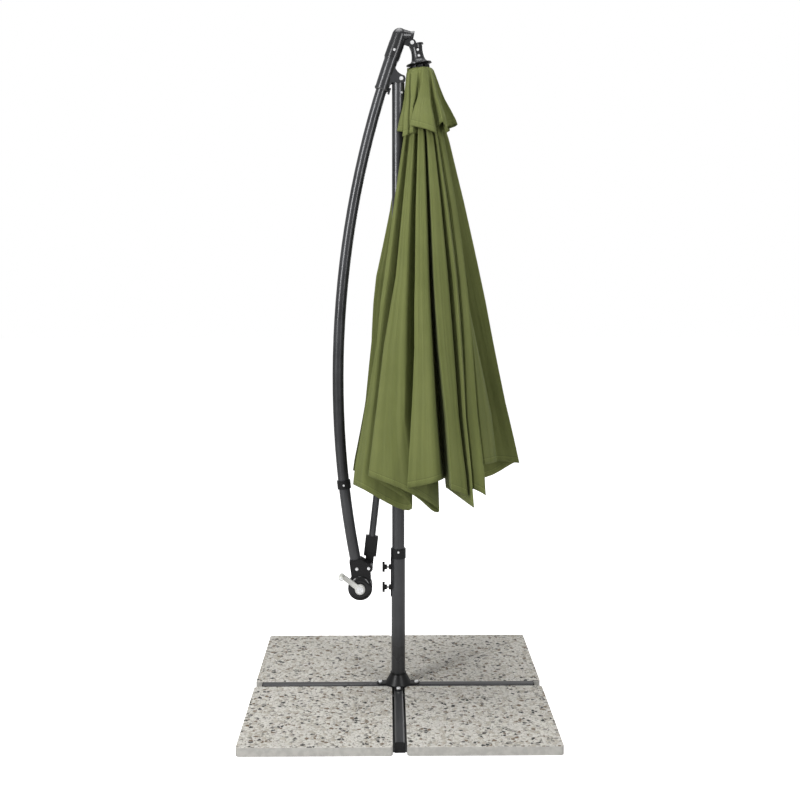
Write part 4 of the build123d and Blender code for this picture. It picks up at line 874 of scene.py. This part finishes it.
    def build(self, finishes: Finishes, body: str) -> bpy.types.Object:
        """Args:
            finishes: the umbrella's materials.
            body: the CAD body that it rides on.

        Returns:
            The cloth.
        """
        points, count = self.mesh_points()
        spots = self.lay_out(points, count)
        faces = []
        for row in range(self.levels):
            for k in range(count):
                a, b = row * count + k, row * count + (k + 1) % count
                faces.append((a + count, b + count, b, a))
        mesh = bpy.data.meshes.new(self.name)
        mesh.from_pydata([p * MM for p in points], [], faces)
        layer = mesh.uv_layers.new(name=CLOTH_MAP)
        last_u, before_u = spots[-1][0], spots[-2][0]
        for loop in mesh.loops:
            u, v = spots[loop.vertex_index]
            if loop.vertex_index % count == 0 and loop.index % 4 in (1, 2):
                u = 2 * last_u - before_u
            layer.data[loop.index].uv = (u, v)
        mesh.polygons.foreach_set("use_smooth", [True] * len(mesh.polygons))
        cloth = bpy.data.objects.new(self.name, mesh)
        bpy.context.collection.objects.link(cloth)
        wall = cloth.modifiers.new("wall", "SOLIDIFY")
        wall.thickness = self.cloth_t
        wall.offset = -1
        finishes.paint(cloth, Slot.CLOTH)
        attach(cloth, body)
        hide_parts(self.node)
        return cloth


@dataclass(frozen=True)
class SlottedScrew:
    """A round screw head with a bevelled rim and one slot, which faces the front.

    Attributes:
        name: the piece's name.
        body: the CAD body that it rides on.
        under: the node whose front face it covers.
        radius: of the head, in metres like the sizes below.
        height: of the head.
        sunk: how deep the head reaches over what is under it.
        slot_w: width of the slot.
        slot_deep: depth of the slot.
        turn: the slot's angle from upright, in degrees.
        rim_share: the rim's bevel over the height.
        rim_angle: edges sharper than this stay sharp, in degrees.
        sides: corners of the round head.
        near: how far from the front face its own faces may lie.
    """

    name: str
    body: str
    under: str
    radius: float
    height: float
    sunk: float
    slot_w: float
    slot_deep: float
    turn: float
    rim_share: float = 0.16
    rim_angle: float = 32.0
    sides: int = 48
    near: float = 0.00001

    def build(self, finishes: Finishes) -> bpy.types.Object:
        """Models the head on the front face of the piece under it.

        Args:
            finishes: the umbrella's materials.

        Returns:
            The screw head.
        """
        low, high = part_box(self.under)
        middle = Vector((low[0] + high[0], 0, low[2] + high[2])) / 2
        middle.y = low[1] - self.height / 2 + self.sunk
        bpy.ops.object.select_all(action="DESELECT")
        bpy.ops.mesh.primitive_cylinder_add(
            vertices=self.sides, radius=self.radius, depth=self.height, location=middle,
            rotation=(math.radians(90), 0, 0),
        )
        head = bpy.context.object
        head.name = self.name
        bpy.ops.object.transform_apply(location=True, rotation=True, scale=True)
        across = Vector((math.cos(math.radians(self.turn)), 0, math.sin(math.radians(self.turn))))
        front = middle.y - self.height / 2
        bpy.ops.object.mode_set(mode="EDIT")
        for side in (-1, 1):
            bpy.ops.mesh.select_all(action="SELECT")
            bpy.ops.mesh.bisect(plane_co=middle + across * side * self.slot_w / 2, plane_no=across)
        bpy.ops.mesh.select_all(action="DESELECT")
        bpy.ops.object.mode_set(mode="OBJECT")
        for face in head.data.polygons:
            flat = face.center.y < front + self.near and face.normal.y < -0.9
            face.select = flat and abs((face.center - middle).dot(across)) < self.slot_w / 2
        bpy.ops.object.mode_set(mode="EDIT")
        bpy.ops.mesh.select_mode(type="FACE")
        bpy.ops.mesh.extrude_region_move(TRANSFORM_OT_translate={"value": (0, self.slot_deep, 0)})
        bpy.ops.object.mode_set(mode="OBJECT")
        rim = head.modifiers.new("rim", "BEVEL")
        rim.width = self.height * self.rim_share
        rim.segments = 3
        rim.limit_method = "ANGLE"
        bpy.ops.object.modifier_apply(modifier="rim")
        bpy.ops.object.shade_smooth_by_angle(angle=math.radians(self.rim_angle))
        finishes.paint(head, Slot.ZINC)
        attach(head, self.body)
        return head


# ---------------------------------------------------------------- whole umbrella
CANOPY = FoldedCloth(
    name="canopy_cloth",
    node="canopy",
    rows=(
        (2240.0, 78.0, 42.0, 36.0, 12.0, 12.0),
        (2120.0, 85.5, 60.0, 40.0, 13.0, 14.0),
        (2000.0, 93.0, 90.0, 46.0, 16.0, 20.0),
        (1787.0, 100.0, 135.0, 54.0, 20.0, 30.0),
        (1425.0, 111.0, 204.0, 68.0, 24.0, 48.0),
        (1300.0, 116.2, 223.4, 75.0, 25.0, 61.0),
        (1064.0, 126.0, 260.0, 86.0, 26.0, 61.0),
        (847.0, 134.0, 304.0, 98.0, 28.0, 62.0),
        (640.0, 140.0, 330.0, 104.0, 28.0, 62.0),
    ),
    folds=(
        Fold(
            crease=(211, 211, 211, 210.5, 210.5, 199.5, 198),
            face=(7, 7, 7, 7, 4.5, 12, 16),
            hem=(787, 780, 680, 722),
            shoulder=(0.97,),
            tuck=(0, 0, 0, 0, -1, -4, -9),
            lead=(0, -3, -3, -3, -4, -8, -21),
            inner=(0.9, 0.9, 0.9, 0.95, 1, 1.2, 1.42),
            back=(0.85, 0.85, 0.85, 0.9, 1, 1.2, 1.42),
        ),
        Fold(
            crease=(230.5, 230.5, 230.5, 229.5, 221, 218, 217),
            face=(13.3, 13.3, 13.3, 15.5, 24.6, 28.5, 37),
            hem=(836, 765, 683, 707),
            shoulder=(0.95, 0.95, 0.95, 0.95, 0.95, 0.92, 0.77),
            tuck=(0, 0, 0, 0, 0, -4, -12),
            lead=(-4, -7, -7, -7, -7, -10, -26),
            inner=(0.85, 0.85, 0.85, 0.85, 0.85, 0.95, 1.15),
            back=(0.8, 0.8, 0.8, 0.8, 0.9, 1.2, 1.45),
        ),
        Fold(
            crease=(252, 252, 251.5, 252.7, 252.7, 250.5, 249),
            face=(17.8, 17.8, 18.3, 17, 17.8, 20.3, 23.5),
            hem=(811, 840, 806, 806),
            tuck=(0, 0, 0, 0, 0, -7, -14),
            lead=(-3, -5, -5, -5, -5, -7, -11),
            inner=(0.8, 0.8, 0.8, 0.8, 0.8, 0.85, 0.93),
            back=(0.8, 0.8, 0.8, 0.8, 0.8, 0.85, 0.93),
        ),
        Fold(
            crease=(273.9, 273.9, 273.9, 273.5, 274.5, 277.3, 277),
            face=(19.9, 19.9, 19.9, 19.8, 16.9, 12.5, 14),
            hem=(810, 775, 770, 770),
            lead=(-3, -3),
            inner=(0.85,),
            back=(0.8,),
        ),
        Fold(
            crease=(297.4, 297.4, 297.6, 297.5, 294.3, 291.7, 291),
            face=(8, 8, 7.5, 6, 5, 2.8, 2.5),
            hem=(745, 742, 790, 800),
            reach=(0.99,),
        ),
        Fold(
            crease=(309, 309, 309.5, 306, 301, 295.5, 294),
            face=(16, 16, 14.5, 11, 10, 11, 9.5),
            hem=(802, 771, 840, 845),
            reach=(0.93,),
            shoulder=(1.04,),
            inner=(1.2,),
            back=(1.1,),
        ),
        Fold(
            crease=(327, 327, 326, 319, 313, 309, 306),
            face=(1, 1, 1, 1.5, 11, 25, 18),
            hem=(876, 876, 860, 848),
            reach=(0.8, 0.8, 0.8, 0.85, 0.9, 0.9, 0.9),
            shoulder=(0.97,),
            lead=(1.5, 1.5, 0, -6, -10, -12, -12),
            inner=(1.2,),
            back=(0.9, 0.9, 1.2, 1.6, 1.9, 2.1, 2.2),
        ),
        Fold(
            crease=(350, 352, 353, 354, 354, 355, 355),
            face=(10, 10),
            hem=(848, 840, 772, 790),
            tuck=(0, -4, -10),
            inner=(1.2, 1.5, 1.9),
        ),
        Fold((374, 385), (12, 12), (845, 842, 790, 800), reach=(0.96,)),
        Fold((399, 406), (11, 14), (840, 830, 775, 790), reach=(0.99,), tuck=(0, 8)),
        Fold((421, 432), (12, 11), (812, 830, 740, 790), reach=(0.94,)),
        Fold((444, 452), (13, 15), (836, 800, 775, 790), reach=(0.98,), tuck=(0, 10)),
        Fold((468, 477), (12, 10), (808, 796, 740, 780), reach=(0.95,)),
        Fold((491, 498), (10, 11), (822, 800, 745, 790), reach=(0.98,)),
        Fold(
            crease=(513, 513, 515, 524, 520, 520, 524),
            face=(4,),
            hem=(805, 804, 800, 800),
            reach=(1, 1, 1, 1.04, 0.985, 0.99, 1),
            shoulder=(1.0,),
        ),
    ),
    slot_x=36.0,
    slot_hem=(790.0, 790.0),
    flat=(3.0, 3.0),
    flat_area=6.4,
    levels=110,
)

VENT = FoldedCloth(
    name="vent_cloth",
    node="vent_cap",
    rows=(
        (2262.0, 77.5, 30.0, 28.0, 10.0, 10.0),
        (2259.0, 78.5, 38.0, 36.0, 10.0, 10.0),
        (2250.0, 79.6, 47.0, 44.0, 11.0, 11.0),
        (2239.0, 79.5, 51.5, 47.0, 12.0, 12.0),
        (2221.0, 82.0, 56.5, 50.0, 13.0, 13.0),
        (2185.0, 86.4, 65.0, 54.0, 13.0, 13.0),
        (2149.0, 92.4, 74.0, 58.0, 13.0, 13.0),
        (2113.0, 99.3, 87.5, 66.0, 12.0, 12.0),
        (2077.0, 103.0, 102.5, 78.0, 12.0, 12.0),
        (2040.0, 105.5, 113.0, 86.0, 12.0, 12.0),
        (2000.0, 108.0, 122.0, 90.0, 12.0, 12.0),
    ),
    folds=(
        Fold(
            crease=(188, 190, 190, 186),
            face=(12, 10, 10, 26),
            hem=(2035, 2028, 2030, 2024),
            lead=(-5,),
            inner=(1.05, 0.9, 0.82, 0.82),
            back=(1.05, 0.85, 0.76, 0.76),
        ),
        Fold(
            crease=(206, 206, 206.4, 216.6),
            face=(12.5, 13, 14, 12),
            hem=(2009, 2014, 2022, 2022),
            lead=(0, -5, -7, -7),
            inner=(1.05, 0.88, 0.8, 0.8),
            back=(1.05, 0.83, 0.74, 0.74),
        ),
        Fold(
            crease=(224, 225, 226.9, 233),
            face=(38, 24, 8, 7),
            hem=(2017, 2020, 2030, 2034),
            lead=(0, -7, -9, -4),
            inner=(1.05, 0.88, 0.8, 0.8),
            back=(1.05, 0.83, 0.74, 0.74),
        ),
        Fold(
            crease=(274, 260, 238.5, 231.5),
            face=(33, 35, 46, 54),
            hem=(2047, 2016, 2020, 2040),
            lead=(0, -5, -7, -7),
            inner=(1.05, 0.85, 0.74, 0.74),
            back=(1.05, 0.8, 0.7, 0.7),
        ),
        Fold(
            crease=(317, 306, 298.8, 294),
            face=(15, 15, 15, 17),
            hem=(2059, 2022, 2030, 2056),
            lead=(0, -5, -10, -14),
            inner=(1, 0.85),
            back=(1, 0.84),
        ),
        Fold((350, 353, 354, 354), (10, 14, 16, 18), (2060, 2056, 2050, 2048)),
        Fold((378, 398), (20, 26), (2048, 2024, 2012, 2034), reach=(0.97,)),
        Fold((420, 436), (26, 22), (2052, 2030, 2012, 2040), reach=(0.96,)),
        Fold((462, 476), (20, 26), (2040, 2018, 2010, 2036), reach=(0.98,)),
        Fold((500, 518), (14, 6), (2038, 2034, 2034, 2034)),
    ),
    slot_x=31.0,
    slot_hem=(2030.0, 2030.0),
    flat=(0.52, 0.52),
    flat_area=0.19,
    levels=36,
    hem_level=2040.0,
    crease_w=6.0,
    steps=6,
    lean=0.07,
    lean_fade=40.0,
    ripple=0.5,
)

LEVER_SCREW = SlottedScrew(
    name="lever_screw", body="crank", under="crank_axle", radius=0.0125, height=0.0055,
    sunk=0.003, slot_w=0.0036, slot_deep=0.0026, turn=35.0,
)


@dataclass
class Umbrella:
    """The umbrella's carried-over pieces and its cloth."""

    finishes: Finishes = field(default_factory=Finishes)

    def dress_frame(self, frame: dict[str, Any]) -> None:
        """Gives every carried-over piece the material of its slot.
        """
        for entry in frame["record"]["subparts"]:
            self.finishes.paint(frame["nodes"][entry["node"]], Slot(entry["material_slot"]))

    def canopy(self) -> bpy.types.Object:
        """Makes the long folded cloth."""
        return CANOPY.build(self.finishes, "canopy")

    def vent(self) -> bpy.types.Object:
        """Makes the short cap over the canopy's top."""
        return VENT.build(self.finishes, "canopy")

    def hub_screw(self) -> bpy.types.Object:
        """Makes the slotted screw that holds the crank's lever."""
        return LEVER_SCREW.build(self.finishes)


# ---------------------------------------------------------------- studio
@dataclass(frozen=True)
class Lamp:
    """One rectangular lamp.

    Attributes:
        name: the lamp's name.
        energy: in watts.
        wide: its width, in metres.
        tall: its height, in metres.
        spot: where it hangs.
        aim: the height that it shines at, in metres.
        aim_x: the place across the umbrella that it shines at, in metres.
    """

    name: str
    energy: float
    wide: float
    tall: float
    spot: tuple[float, float, float]
    aim: float = 1.1
    aim_x: float = 0.05

    def build(self) -> None:
        """Hangs the lamp."""
        data = bpy.data.lights.new(self.name, "AREA")
        data.shape = "RECTANGLE"
        data.energy = self.energy
        data.size = self.wide
        data.size_y = self.tall
        lamp = bpy.data.objects.new(self.name, data)
        bpy.context.collection.objects.link(lamp)
        lamp.location = self.spot
        view = Vector((self.aim_x, 0, self.aim)) - Vector(self.spot)
        lamp.rotation_euler = view.to_track_quat("-Z", "Y").to_euler()


@dataclass(frozen=True)
class Studio:
    """The pale floor, the lamps and the camera.

    Attributes:
        lens: focal length, in mm.
        sensor: the sensor's width, in mm.
        shift_y: the camera's vertical shift.
        spot: the camera's place.
        pitch: how far it looks down, in degrees.
        yaw: how far it looks to the right, in degrees.
        far: how far it sees, in metres.
        floor_size: the floor's side, in metres like the sizes below.
        floor_gap: how far the floor lies under the umbrella.
        painted_shade_footprint: half sides of the foot between which the floor's camera-only glow fades in;
            inside them the floor is left darker as a painted shade under the foot.
        floor_glow: strength of the floor's white, which only the camera sees.
        soft: strength of the surroundings as light.
        mirrored: strength of the surroundings in reflections.
        seen: strength of the surroundings straight to the camera.
        lights: the lamps, tall strips at the front, soft light from above and behind.
    """

    lens: float = 48.44
    sensor: float = 36.0
    shift_y: float = -0.10
    spot: tuple[float, float, float] = (-0.041, -3.868, 1.547)
    pitch: float = 2.73
    yaw: float = 0.70
    far: float = 60.0
    floor_size: float = 40.0
    floor_gap: float = 0.0005
    painted_shade_footprint: tuple[float, float] = (0.4, 0.47)
    floor_glow: float = 0.95
    soft: float = 0.1
    mirrored: float = 0.5
    seen: float = 1.0
    lights: tuple[Lamp, ...] = (
        Lamp("key", 150.0, 1.1, 2.8, (-3.0, -3.1, 2.7)),
        Lamp("strip", 64.0, 0.8, 2.6, (2.5, -3.4, 2.5)),
        Lamp("top", 95.0, 2.4, 2.4, (-0.3, -0.3, 4.4), aim=0.0),
        Lamp("back", 40.0, 1.0, 2.6, (2.0, 3.6, 2.6)),
    )

    def camera(self) -> None:
        """Places the camera at the viewing angle."""
        data = bpy.data.cameras.new("camera")
        data.lens = self.lens
        data.sensor_width = self.sensor
        data.shift_y = self.shift_y
        data.clip_end = self.far
        cam = bpy.data.objects.new("camera", data)
        bpy.context.collection.objects.link(cam)
        cam.location = self.spot
        cam.rotation_euler = (math.radians(90 - self.pitch), 0, -math.radians(self.yaw))
        bpy.context.scene.camera = cam

    def floor(self) -> None:
        """Lays a wide white floor that keeps the shadow, and paints shade under the foot and between the
        slabs by fading its glow out there.
        """
        bpy.ops.mesh.primitive_plane_add(size=self.floor_size, location=(0, 0, -self.floor_gap))
        plane = bpy.context.object
        plane.name = "studio_floor"
        maker = Maker("studio_white")
        seen = maker.node("ShaderNodeLightPath", out="Is Camera Ray")
        across, along, _ = maker.parts(maker.place())
        # painted shade: the camera-only glow fades out under the foot, so the floor is darker there
        beyond = across.size().most(along.size()).ramp(*self.painted_shade_footprint)
        maker.dress(Base_Color=(0.9, 0.9, 0.9), Roughness=0.9, Specular_IOR_Level=0.1)
        glow = maker.tree.nodes.new("ShaderNodeEmission")
        maker.plug(glow.inputs["Strength"], seen * beyond * self.floor_glow)
        both = maker.tree.nodes.new("ShaderNodeAddShader")
        maker.tree.links.new(maker.shader.outputs[0], both.inputs[0])
        maker.tree.links.new(glow.outputs[0], both.inputs[1])
        maker.tree.links.new(both.outputs[0], maker.output.inputs["Surface"])
        plane.data.materials.append(maker.material)

    def glow(self, tree: bpy.types.NodeTree, strength: float) -> bpy.types.Node:
        """Adds even white light to the surroundings.

        Args:
            tree: the world's nodes.
            strength: how bright it is.

        Returns:
            The light's node.
        """
        made = tree.nodes.new("ShaderNodeBackground")
        made.inputs["Color"].default_value = (1, 1, 1, 1)
        made.inputs["Strength"].default_value = strength
        return made

    def world(self) -> None:
        """Fills the surroundings with even light that the camera sees as white."""
        world = bpy.data.worlds.new("studio_world")
        bpy.context.scene.world = world
        world.use_nodes = True
        tree = world.node_tree
        tree.nodes.clear()
        path = tree.nodes.new("ShaderNodeLightPath")
        light = self.glow(tree, self.soft)
        for ray, strength in (("Is Glossy Ray", self.mirrored), ("Is Camera Ray", self.seen)):
            mix = tree.nodes.new("ShaderNodeMixShader")
            tree.links.new(path.outputs[ray], mix.inputs[0])
            tree.links.new(light.outputs[0], mix.inputs[1])
            tree.links.new(self.glow(tree, strength).outputs[0], mix.inputs[2])
            light = mix
        out = tree.nodes.new("ShaderNodeOutputWorld")
        tree.links.new(light.outputs[0], out.inputs["Surface"])

    def build(self) -> None:
        """Sets up the whole studio."""
        self.floor()
        self.world()
        for lamp in self.lights:
            lamp.build()
        self.camera()
        bpy.context.scene.view_settings.view_transform = "Standard"


def main() -> None:
    """Builds the umbrella's looks around its frame, piece by piece."""
    logging.basicConfig(level=logging.INFO, format="%(message)s")
    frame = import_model()
    bpy.ops.object.select_all(action="DESELECT")
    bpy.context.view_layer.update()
    studio = Studio()
    studio.build()
    umbrella = Umbrella()
    umbrella.dress_frame(frame)
    for piece in (umbrella.canopy(), umbrella.vent(), umbrella.hub_screw()):
        LOG.info("%s: %d faces", piece.name, len(piece.data.polygons))


if __name__ == "__main__":
    main()
